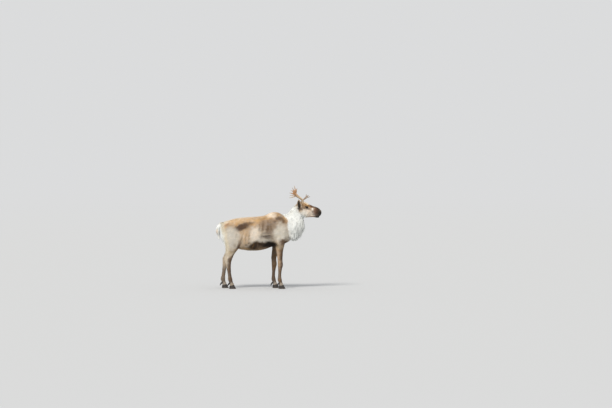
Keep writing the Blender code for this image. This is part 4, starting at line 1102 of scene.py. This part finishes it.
def tuft_mesh(name, path, outward, widths, tones, bare, unwrapped):
    """One mesh of closed three-sided tufts, with what their material and their baked colours need. Their
    upper faces are lit as the coat's surface is and their lower faces the other way."""
    steps, count = len(path) - 1, path.shape[1]
    taper = TAPERS[steps]
    rings, facings = [], []
    for step in range(steps):
        ahead = unit(path[step + 1] - path[max(step - 1, 0)])
        across = unit(np.cross(ahead, outward))
        top = unit(np.cross(across, ahead))
        half = across * (widths * taper[step] / 2)[:, None]
        rings += [path[step] - half, path[step] + top * (widths * RIDGE)[:, None], path[step] + half]
        middle = unit(outward * 0.3 + top)
        facings += [unit(middle - across * 0.55), middle, unit(middle + across * 0.55)]
    rings.append(path[steps])
    facings.append(middle)
    vertices = np.stack(rings, 1).reshape(-1, 3)
    facings = np.stack(facings, 1).reshape(-1, 3)
    each = 3 * steps + 1

    faces, way_up = [(0, 2, 1)], [1.0]
    for step in range(steps - 1):
        for k in range(3):
            a, b = 3 * step + k, 3 * step + (k + 1) % 3
            faces += [(a, b, b + 3), (a, b + 3, a + 3)]
            way_up += [1.0 if k < 2 else -1.0] * 2
    last = 3 * (steps - 1)
    faces += [(last + k, last + (k + 1) % 3, each - 1) for k in range(3)]
    way_up += [1.0, 1.0, -1.0]
    loops = (np.array(faces)[None] + each * np.arange(count)[:, None, None]).reshape(-1)
    corner_facings = facings[loops] * np.tile(np.repeat(way_up, 3), count)[:, None]

    mesh = bpy.data.meshes.new(name)
    mesh.vertices.add(len(vertices))
    mesh.vertices.foreach_set("co", vertices.astype(np.float32).ravel())
    mesh.loops.add(len(loops))
    mesh.loops.foreach_set("vertex_index", loops.astype(np.int32))
    mesh.polygons.add(len(loops) // 3)
    mesh.polygons.foreach_set("loop_start", np.arange(0, len(loops), 3, dtype=np.int32))
    mesh.update()
    mesh.shade_smooth()
    mesh.normals_split_custom_set(corner_facings)

    side = np.array([-1.0, 0.0, 1.0] * steps + [0.0])
    share = [max(step / steps, ROOT_SHARES[steps]) for step in range(steps) for _ in range(3)]
    share = np.array(share + [1.0])
    strand = np.empty((count, each, 3))
    strand[:, :, 0] = side
    strand[:, :, 1] = share
    strand[:, :, 2] = tones[:, None]
    write_attribute(mesh, "root", np.repeat(path[0], each, 0))
    write_attribute(mesh, "strand", strand)
    write_attribute(mesh, "bare", np.repeat(bare, each))

    patch = 0.003
    uv = np.empty((count, each, 2))
    uv[:, :, 0] = unwrapped[:, 0, None] + side * patch / 2
    uv[:, :, 1] = unwrapped[:, 1, None] + (share - 0.5) * patch
    layer = mesh.uv_layers.new(name="OFBake")
    layer.data.foreach_set("uv", uv.reshape(-1, 2)[loops].astype(np.float32).ravel())

    return in_scene(name, mesh)


def unwrap(points, start, end):
    """Where places lie on the skin unrolled from round a line, in a square."""
    start, end = np.array(start, float), np.array(end, float)
    along = unit(end - start)
    first = np.cross(along, (0.0, 1.0, 0.0))
    offset = points - start
    flat = np.stack([np.arctan2(offset[:, 1], offset @ first), offset @ along], 1)
    low, high = flat.min(0), flat.max(0)
    return 0.01 + 0.98 * (flat - low) / np.maximum(high - low, 1e-6)


COAT = coat_material("winter_coat_hair", 0.84)


def dress(name, path, outward, widths, tones, bare, line, slot):
    """Make one piece of the coat and set it on the animal."""
    made = tuft_mesh(name, path, outward, widths, tones, bare, unwrap(path[0], *line))
    made.data.materials.append(COAT)
    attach(made, "root")


roots, normals = scatter_roots()
sizes = coat_sizes(roots).T
lengths = sizes[0] * rng.uniform(0.75, 1.2, len(roots))
widths = sizes[1] * rng.uniform(0.8, 1.15, len(roots))
rises = coat_rise(roots) * rng.uniform(0.75, 1.3, len(roots))
tones = rng.random(len(roots))
bare = np.minimum(bareness_and_shade(roots, normals), 0.85)
bare[on_ears(roots) & (bare > 0.3) & (rng.random(len(roots)) < 0.30)] = -0.5
x, y, z = roots.T

# The coat's pieces: name, the region it covers, the line it is unrolled round, its steps and its slot
TRUNK_AXIS = ((-0.70, 0, 0.82), (0.30, 0, 0.85))
NECK_AXIS = ((0.25, 0, 0.90), (0.46, 0, 1.16))
on_head = beyond(roots, HEAD_LINE, 0.0, 0.001) > 0.5
on_neck = ~on_head & (beyond(roots, CHEST_LINE, -0.001, 0.001) > 0.5)
on_shank = z < 0.27
at_fore = (x > -0.05) & (x < 0.262) & (z < 0.70) & ~on_neck
at_hind = (x < -0.376) & (z < 0.78) & ~on_tail(roots)
on_trunk = ~(on_head | on_neck | on_tail(roots) | at_fore | at_hind)
for side, side_name in ((-1, "right"), (1, "left")):
    on_side = y * side > 0
    leg_y = side * 0.1
    for name, region, line, steps, slot in (
        ("coat_face", on_head, ((0.45, 0, 1.17), (0.77, 0, 1.10)), 1, "face_coat"),
        ("coat_neck", on_neck, NECK_AXIS, 2, "white_coat"),
        ("coat_shoulder", on_trunk & (x > -0.02), TRUNK_AXIS, 2, "winter_coat"),
        ("coat_flank", on_trunk & (x <= -0.02) & (x > -0.33), TRUNK_AXIS, 2, "winter_coat"),
        ("coat_rump", on_trunk & (x <= -0.33), TRUNK_AXIS, 2, "winter_coat"),
        ("coat_elbow", at_fore & ~on_shank, ((0.16, leg_y, 0.7), (0.16, leg_y, 0.2)), 2, "leg_coat"),
        ("coat_thigh", at_hind & ~on_shank, ((-0.53, leg_y, 0.8), (-0.6, leg_y, 0.2)), 2, "leg_coat"),
        ("coat_foreleg", at_fore & on_shank, ((0.16, leg_y, 0.28), (0.16, leg_y, 0)), 1, "leg_coat"),
        ("coat_hindleg", at_hind & on_shank, ((-0.6, leg_y, 0.28), (-0.56, leg_y, 0)), 1, "leg_coat"),
    ):
        chosen = region & on_side
        path = follow_skin(roots[chosen], normals[chosen], lengths[chosen], rises[chosen], steps)
        path = gathered(path, 9, sizes[3, chosen])
        looks = (widths[chosen], tones[chosen], bare[chosen])
        dress(f"{name}_{side_name}", path, normals[chosen], *looks, line, slot)

# The mane
# Long white hair hangs from the throat down to the chest, in locks that part at their ends. It is
# longest and stands out furthest down the middle.
MANE_TUFTS = 8400
MANE_SPAN = (0.50, 5.10)
MANE_REACH = 104.0
MANE_LENGTH = (0.105, 0.145)
MANE_RISE = (0.086, 0.012)
MANE_DROOP = 0.012
MANE_FOOT = 0.690
MANE_FOOT_RISE = 0.085
MANE_TUFT_WIDTH = 0.0062
MANE_JAW_GAP = 0.035


def hanging(roots, outward, lie, lengths, rises, droop, steps):
    """Paths of long tufts that lift off the skin, run along their lie and sag at the end."""
    path = []
    for step in range(steps + 1):
        share = step / steps
        lift = (rises + SINK) * (1 - (1 - share) ** 2) - SINK
        place = roots + outward * lift[:, None] + lie * (lengths * share)[:, None]
        place[:, 2] -= droop * share * share
        path.append(place)
    return np.array(path)


rows = smooth_rows(NECK, 8)
share = rng.random(MANE_TUFTS) ** 0.8
spread = rng.uniform(-1, 1, MANE_TUFTS)
spread *= np.abs(spread) ** 0.45
guesses, ahead = [], []
for place, turn in zip(MANE_SPAN[0] + (MANE_SPAN[1] - MANE_SPAN[0]) * share, spread):
    turn = radians(-90 + MANE_REACH * turn)
    row = round(place * 8)
    guesses.append(slice_point(rows[row], turn))
    ahead.append(slice_point(rows[row - 2], turn))
guesses, ahead = np.array(guesses), np.array(ahead)
mane_roots, outward = nearest_on_skin(guesses + rng.normal(0, 0.004, (MANE_TUFTS, 3)))
# The roots end further back at the sides, behind the corner of the jaw
behind_jaw = mane_roots + np.outer(np.abs(spread), (MANE_JAW_GAP, 0, 0))
kept = beyond(mane_roots, CHEST_LINE, 0.026, 0.027) > 0.5
kept &= beyond(behind_jaw, HEAD_LINE, -0.006, -0.005) < 0.5
mane_roots, outward, down_neck = mane_roots[kept], outward[kept], unit(ahead - guesses)[kept]
share, spread = share[kept], spread[kept]
hang = (0.95 - 0.55 * share)[:, None]
lie = unit(down_neck * (1 - hang) + np.array((0, 0, -1.0)) * hang)
lie = unit(lie - outward * ((lie * outward).sum(1) * 0.9 * ramp(share, 0.0, 0.35))[:, None])
lie = unit(lie + rng.normal(0, 0.05, lie.shape))
middle = 1 - np.minimum(1, np.abs(spread)) ** 2
lengths = MANE_LENGTH[0] + (MANE_LENGTH[1] - MANE_LENGTH[0]) * ramp(share, 0.0, 0.5)
lengths *= (0.68 + 0.32 * middle) * rng.uniform(0.70, 1.08, len(share)) * (1 - 0.15 * ramp(share, 0.80, 1.0))
rises = MANE_RISE[1] + (MANE_RISE[0] - MANE_RISE[1]) * middle * ramp(share, -0.4, 0.5)
rises *= rng.uniform(0.0, 1.05, len(share)) * (1 + 0.30 * ramp(share, 0.60, 0.95))
foot = MANE_FOOT + MANE_FOOT_RISE * spread**2 + rng.uniform(0, 0.02, len(share))
drop = mane_roots[:, 2] + outward[:, 2] * rises - MANE_DROOP - foot
lengths = np.clip(drop / -lie[:, 2], 0.02, lengths)
path = gathered(hanging(mane_roots, outward, lie, lengths, rises, MANE_DROOP, 4), 14, 0.40)
widths = MANE_TUFT_WIDTH * rng.uniform(0.7, 1.1, len(share))
dress("mane", path, outward, widths, rng.random(len(share)), 0 * share, NECK_AXIS, "white_coat")

# The tail's hair
# White hair grows all round the tail's core and lies along it, and fans out towards its end. The lowest
# tufts hang past the end of the core.
TAIL_TUFTS = 1500
TAIL_TUFT_REACH = 0.34
TAIL_TUFT_WIDTH = 0.0070
TAIL_RISE = np.full(TAIL_TUFTS, 0.009)
TAIL_OVERHANG = 0.20
TAIL_AXIS = ((-0.72, 0, 0.93), (-0.74, 0, 0.78))
core, full = tail_rows(TAIL_CORE), tail_rows(1.0)
last = len(core) - 1
tail_roots, ways, outward = [], [], []
for place, turn, reach in zip(
    rng.uniform(0.10, 0.95, TAIL_TUFTS),
    rng.uniform(0, 2 * pi, TAIL_TUFTS),
    rng.uniform(0.6, 1.1, TAIL_TUFTS),
):
    row = core[round(place * last)]
    root = tail_point(row, turn)
    end = place + TAIL_TUFT_REACH * reach
    past_end = core[last][1] * TAIL_OVERHANG * max(0.0, end - 1)
    tail_roots.append(root)
    ways.append(np.array(tail_point(full[min(round(end * last), last)], turn) + past_end) - np.array(root))
    outward.append((root - row[0]).normalized())
tail_roots, ways, outward = np.array(tail_roots), np.array(ways), np.array(outward)
path = hanging(tail_roots, outward, unit(ways), np.linalg.norm(ways, axis=1), TAIL_RISE, 0.0, 4)
path = gathered(path, 12, 0.35)
widths = TAIL_TUFT_WIDTH * rng.uniform(0.7, 1.1, TAIL_TUFTS)
tones = rng.random(TAIL_TUFTS)
dress("tail_hair", path, outward, widths, tones, 0 * tones, TAIL_AXIS, "white_coat")

# The antlers
# Hard bone, shed of its velvet: a round beam swept back to a small palm with three points, and a forked
# tine over the brow. Each grows from a burr on the skull and is fused as one piece, rough at its foot.

# Each tine: which lean it follows, and its points, each with the tine's radius there
TINES = (
    ("beam", (0.500, 0.036, 1.255, 0.0140), (0.492, 0.041, 1.290, 0.0135), (0.466, 0.058, 1.320, 0.0115),
     (0.425, 0.084, 1.346, 0.0100), (0.388, 0.112, 1.372, 0.0110), (0.370, 0.130, 1.402, 0.0120),
     (0.364, 0.142, 1.440, 0.0090), (0.346, 0.152, 1.487, 0.0035)),
    ("brow", (0.492, 0.041, 1.298, 0.0100), (0.520, 0.044, 1.325, 0.0085), (0.545, 0.046, 1.352, 0.0078),
     (0.548, 0.048, 1.388, 0.0030)),
    ("brow", (0.542, 0.046, 1.350, 0.0070), (0.566, 0.052, 1.361, 0.0055), (0.586, 0.056, 1.374, 0.0028)),
    ("beam", (0.372, 0.130, 1.404, 0.0095), (0.384, 0.140, 1.430, 0.0075), (0.392, 0.148, 1.458, 0.0032)),
    ("beam", (0.374, 0.126, 1.394, 0.0095), (0.340, 0.146, 1.404, 0.0070), (0.304, 0.160, 1.414, 0.0030)),
    ("beam", (0.396, 0.106, 1.366, 0.0085), (0.350, 0.124, 1.350, 0.0062), (0.298, 0.136, 1.338, 0.0028)),
)
ANTLER_PALM = Swelling((0.372, 0.133, 1.408), (0.022, 0.0065, 0.030), -10)
ANTLER_BASE = Vector((0.493, 0.040, 1.287))
BURR_SIZE = (0.017, 0.008)
BURR_TILT = -0.35
# How far each antler's parts lean from those points about its base, in degrees
ANTLER_LEAN = {"right": {"beam": 0.0, "brow": 0.0}, "left": {"beam": 7.0, "brow": 13.0}}
ANTLER_VOXEL = 0.0014


def tube(points, sides, frames=None):
    """A closed tube through points with a radius at each, with rounded ends. Frames gathers its rings'
    middles, their ways across and how far along they are."""
    rows = smooth_rows(points, 6)
    centres = [Vector(row[:3]) for row in rows]
    radii = [row[3] for row in rows]
    for end, beside in ((0, 1), (-1, -2)):
        way = (centres[end] - centres[beside]).normalized()
        tip, radius = centres[end], radii[end]
        for turn in (0.5, 0.9, 1.25):
            place = len(centres) if end else 0
            centres.insert(place, tip + way * radius * sin(turn))
            radii.insert(place, radius * cos(turn))
    rings = []
    side_way = Vector((0, 1, 0))
    for i, (centre, radius) in enumerate(zip(centres, radii)):
        along = (centres[min(i + 1, len(centres) - 1)] - centres[max(i - 1, 0)]).normalized()
        side_way = (side_way - along * side_way.dot(along)).normalized()
        up_way = along.cross(side_way)
        ways = [side_way * cos(turn) + up_way * sin(turn) for turn in turns_round(sides)]
        rings.append([centre + radius * way for way in ways])
        if frames is not None:
            frames.append((centre, side_way.copy(), up_way, (centre - centres[0]).length))
    return loft("tube", rings)


bone, bone_shader, start = new_material("antler_bone", 0.55)
place = start.node("TexCoord", (), (), 3)
height = place.axis("Z").ease(1.33, 1.40)
tips = place.axis("Z").ease(1.43, 1.48)
back = place.axis("X").ease(0.34, 0.30)
colour = height.mix((0.58, 0.46, 0.31), (0.48, 0.25, 0.11))
colour = place.axis("X").ease(0.495, 0.53).mix(colour, (0.36, 0.28, 0.22))
colour = (tips.maths("MAXIMUM", tips, back) * 0.8).mix(colour, (0.56, 0.49, 0.40))
stains = place.noise(90.0, 5.0).ease(0.45, 0.70)
colour = (stains * 0.55).mix(colour, (0.20, 0.11, 0.06))
lengthwise = start.node("Attribute", {"attribute_name": "lengthwise"}, (), 1)
grain = start.node("Mapping", (), {"Vector": lengthwise, "Scale": (2.6, 2.6, 12.0)}).noise(1.0, 5.0)
colour = (grain.ease(0.56, 0.40) * 0.60).mix(colour, (0.19, 0.11, 0.06))
colour.feed(bone_shader, "Base Color")
relief = grain * 0.7 + place.noise(420.0, 3.0) * 0.3
bump = start.node("Bump", (), {"Height": relief, "Strength": 0.6, "Distance": 0.0012})
bump.feed(bone_shader, "Normal")
(0.42 + stains * 0.25).feed(bone_shader, "Roughness")


def pearled(made, frames):
    """Roughen an antler: beads of bone round its foot and shallow grooves along its beam and tines."""
    points = points_of(made)
    near_foot = 1 - ramp(np.linalg.norm(points - np.array(ANTLER_BASE), axis=1), 0.012, 0.085)
    tree = tree_of([frame[0] for frame in frames])
    lengthwise, heights = [], []
    for point, foot in zip(points.tolist(), near_foot):
        point = Vector(point)
        centre, side_way, up_way, distance = frames[tree.find(point)[1]]
        away = (point - centre).normalized()
        grain = Vector((away.dot(side_way), away.dot(up_way), distance))
        lengthwise.append(grain)
        beads = max(0.0, noise.noise(point * 260)) * 0.0022 * foot
        grooves = noise.noise(Vector((grain.x * 2.4, grain.y * 2.4, grain.z * 14))) * 0.0010
        heights.append(beads + grooves + noise.noise(point * 90) * 0.0003)
    write_attribute(made.data, "lengthwise", np.array(lengthwise))
    move_points(made, points + normals_of(made) * np.array(heights)[:, None])


for side, side_name in ((-1, "right"), (1, "left")):
    leans = {}
    for part, degrees in ANTLER_LEAN[side_name].items():
        turn = Matrix.Rotation(radians(degrees), 4, "Y")
        leans[part] = Matrix.Translation(ANTLER_BASE) @ turn @ Matrix.Translation(-ANTLER_BASE)
    parts, frames = [], []
    for part, *tine in TINES:
        parts.append(tube([(*(leans[part] @ Vector(p[:3])), p[3]) for p in tine], 24, frames))
    parts.append(swelling_body(ANTLER_PALM, 1))
    parts[-1].data.transform(leans["beam"])
    burr = ball(1.0)
    burr.data.transform(
        Matrix.Translation(ANTLER_BASE)
        @ Matrix.Rotation(BURR_TILT, 4, "Y")
        @ Matrix.Diagonal((BURR_SIZE[0], BURR_SIZE[0], BURR_SIZE[1], 1))
    )
    antler = fuse(f"antler_{side_name}", parts + [burr], ANTLER_VOXEL)
    smooth(antler, 0.8, 6)
    pearled(antler, frames)
    if side < 0:
        antler.data.transform(Matrix.Diagonal((1, -1, 1, 1)))
        antler.data.flip_normals()
    antler.data.shade_smooth()
    antler.data.materials.append(bone)
    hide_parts(*[f"antler_{part}_{side_name}" for part in ("beam", "brow_tine", "crown")])
    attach(antler, "root")

# The eyes
# A large dark eye with a wide level pupil, wet and glossy, seated in its lids so that only its front
# shows. The clear cornea bulges a little from the ball, and stiff dark lashes grow along the upper lid.
eye_gloss, eye_shader, start = new_material("eye_gloss", 0.05)
place = start.node("TexCoord", (), (), 3)
pupil = place.within((0.0078, 0.0045, 1.0)).vector("MULTIPLY", (1, 1, 0)).length().ease(1.12, 0.92)
iris = place.noise(700.0, 3.0).mix((0.016, 0.008, 0.004), (0.036, 0.017, 0.008))
colour = pupil.mix(iris, (0.002, 0.002, 0.003))
colour.feed(eye_shader, "Base Color")
eye_shader.inputs["Specular IOR Level"].default_value = 0.35
LASHES = 34
for side, side_name in ((-1, "right"), (1, "left")):
    eyeball = ball(EYE_RADIUS - 0.0002, subdivisions=5)
    eyeball.name = f"eyeball_{side_name}"
    points = points_of(eyeball)
    move_points(eyeball, points * (1 + 0.045 * ramp(points[:, 2:] / EYE_RADIUS, 0.70, 1.0)))
    eyeball.data.shade_smooth()
    eyeball.matrix_world = eye_place(side)
    eyeball.data.materials.append(eye_gloss)
    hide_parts(f"eye_{side_name}")
    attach(eyeball, "root")

    placed = np.array(eye_place(side))
    turns = np.linspace(0.20, 0.86, LASHES) * pi
    half, top, _ = LID_OPENING
    lid_x = 1.08 * half * np.cos(turns)
    lid_y = 1.12 * top * np.sin(turns) ** 1.3
    lid_z = np.sqrt((EYE_RADIUS + LID_THICKNESS) ** 2 - lid_x**2 - lid_y**2) - 0.0012
    local = [
        np.stack([lid_x, side * lid_y, lid_z], 1),
        np.stack([lid_x * 1.12 - 0.0008, side * (lid_y - 0.0004), lid_z + 0.0048], 1),
        np.stack([lid_x * 1.28 - 0.0020, side * (lid_y + 0.0012), lid_z + 0.0090], 1),
    ]
    path = np.array([points @ placed[:3, :3].T + placed[:3, 3] for points in local])
    upward = np.tile(placed[:3, 1] * side, (LASHES, 1))
    looks = (np.full(LASHES, 0.0010), rng.random(LASHES), np.ones(LASHES))
    lid_line = ((0.54, side * 0.07, 1.21), (0.57, side * 0.07, 1.20))
    dress(f"lashes_{side_name}", path, upward, *looks, lid_line, "face_coat")

# The hooves
# Two broad claws of dark horn to each foot, splayed a little, with their soles worn round at the edge
# and growth rings across their walls, and two blunt dewclaws behind the pastern.
CORONET_HEIGHT = 0.052
CORONET_SLOPE = 0.24
CLAW_HEEL = -0.042
CLAW_TOE = 0.060
CLAW_OUTER = 0.047
CLEFT = 0.0020
CLAW_SPLAY = 0.11
DEWCLAW = (
    (-0.012, 0.097, 0.0060),
    (-0.036, 0.084, 0.0115),
    (-0.057, 0.061, 0.0096),
    (-0.069, 0.039, 0.0036),
)
DEWCLAW_SPREAD = 0.020
# Rings of a claw's wall: how far up each is, as a share of the way from the sole to the coronet, and how
# far in it is drawn
CLAW_RINGS = (
    (0.000, 0.0045),
    (0.015, 0.0022),
    (0.050, 0.0008),
    (0.120, 0.0000),
    (0.300, 0.0000),
    (0.500, 0.0003),
    (0.700, 0.0000),
    (0.860, 0.0005),
    (0.940, 0.0012),
    (0.985, 0.0026),
    (1.000, 0.0050),
)

horn, horn_shader, start = new_material("hoof_horn", 0.45)
place = start.node("TexCoord", (), (), 3)
bands = (place.axis("Z") + place.noise(30.0) * 0.006) * 900.0
bands = bands.maths("SINE", bands) * 0.5 + 0.5
scratches = start.node("Mapping", (), {"Vector": place, "Scale": (170.0, 170.0, 24.0)}).noise(1.0, 5.0)
dust = place.axis("Z").ease(0.014, 0.002) * place.noise(120.0, 3.0).ease(0.3, 0.6)
colour = (scratches.ease(0.3, 0.8) * 0.6).mix((0.020, 0.016, 0.014), (0.060, 0.048, 0.038))
colour = (dust * 0.6).mix(colour, (0.26, 0.21, 0.16))
colour.feed(horn_shader, "Base Color")
(0.36 + scratches * 0.3 + dust * 0.3).feed(horn_shader, "Roughness")
relief = bands * 0.35 + scratches * 0.4
bump = start.node("Bump", (), {"Height": relief, "Strength": 0.35, "Distance": 0.0008})
bump.feed(horn_shader, "Normal")


def claw(leg, outward):
    """A hoof's claw from its sole up, ring by ring, outward from the cleft."""
    foot_x, foot_y = foot_place(leg)
    rings = []
    for share, inset in CLAW_RINGS:
        ring = []
        for turn in turns_round(48):
            forward = cos(turn)
            z = share * CORONET_HEIGHT
            for _ in range(3):
                heel = CLAW_HEEL + inset + 0.06 * z
                toe = CLAW_TOE - inset - 0.50 * z
                x = (heel + toe) / 2 + (toe - heel) / 2 * forward
                z = share * (CORONET_HEIGHT + CORONET_SLOPE * x)
            outer = CLAW_OUTER - inset - 0.12 * z
            bow = abs(sin(turn)) ** (0.85 if forward < 0 else 1.05)
            hollow = 0.004 * bow * float(ramp(forward, -0.6, 0.8))
            y = CLEFT + ((outer - CLEFT) * bow if sin(turn) >= 0 else inset / 2 + hollow)
            splay = CLAW_SPLAY * max(0.0, x) * (1 - 6 * z)
            ring.append((foot_x + x, foot_y + outward * (y + splay), z))
        rings.append(ring)
    return loft("claw", rings)


for leg in LEGS:
    half, side_name = leg.name.split("_")
    for outward, place_name in ((leg.side, "outer"), (-leg.side, "inner")):
        hoof = claw(leg, outward)
        foot_x, foot_y = foot_place(leg)
        dewclaw = tube([(foot_x + x, foot_y + outward * DEWCLAW_SPREAD, z, r) for x, z, r in DEWCLAW], 24)
        for made, kind in ((hoof, "claw"), (dewclaw, "dewclaw")):
            made.name = f"horn_{kind}_{leg.name}_{place_name}"
            made.data.shade_smooth()
            made.data.set_sharp_from_angle(angle=radians(50))
            made.data.materials.append(horn)
            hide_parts(f"{kind}_{leg.name}_{place_name}")
            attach(made, "root")

# The floor
# A pale matte studio floor, far wider than the view, which fades into the pale room behind the animal so
# that no edge of it shows.
FLOOR_REACH = 60.0
corners = [(x * FLOOR_REACH, y * FLOOR_REACH, 0) for x, y in ((-1, -1), (1, -1), (1, 1), (-1, 1))]
floor = mesh_object("floor", corners, [(0, 1, 2, 3)])
pale, pale_shader, start = new_material("pale_floor", 0.95)
place = start.node("TexCoord", (), (), 3)
pale_shader.inputs["Base Color"].default_value = (0.535, 0.545, 0.555, 1)
pale_shader.inputs["Specular IOR Level"].default_value = 0.0
place.length().ease(38.0, 10.0).feed(pale_shader, "Alpha")
floor.data.materials.append(pale)

# The light
# One broad soft lamp stands high behind the camera, a little to its left, and a pale room all round
# fills the shadows.
LAMP_WAY = Vector((0.35, 0.76, -0.92))
room = bpy.data.worlds.new("studio")
room.use_nodes = True
room.node_tree.nodes["Background"].inputs["Color"].default_value = (0.71, 0.715, 0.72, 1)
room.node_tree.nodes["Background"].inputs["Strength"].default_value = 1.0
bpy.context.scene.world = room
lamp = bpy.data.lights.new("lamp", "SUN")
lamp.energy = 2.6
lamp.angle = radians(18)
lamp.color = (1.0, 0.96, 0.90)
in_scene("lamp", lamp).rotation_euler = LAMP_WAY.to_track_quat("-Z", "Y").to_euler()
bpy.context.scene.view_settings.view_transform = "Standard"

# The camera
# A long lens from far off and nearly level, as in the photograph, with the animal left of the middle.
CAMERA_AIM = Vector((0.544, 0.0, 1.243))
CAMERA_DISTANCE = 60.0
CAMERA_RISE = radians(2.5)
VIEW_WIDTH = 9.0
lens = bpy.data.cameras.new("camera")
lens.sensor_width = 36.0
lens.lens = lens.sensor_width * CAMERA_DISTANCE / VIEW_WIDTH
lens.clip_end = 400.0
camera = in_scene("camera", lens)
back = Vector((0, -cos(CAMERA_RISE), sin(CAMERA_RISE)))
camera.location = CAMERA_AIM + back * CAMERA_DISTANCE
camera.rotation_euler = (-back).to_track_quat("-Z", "Y").to_euler()
bpy.context.scene.camera = camera
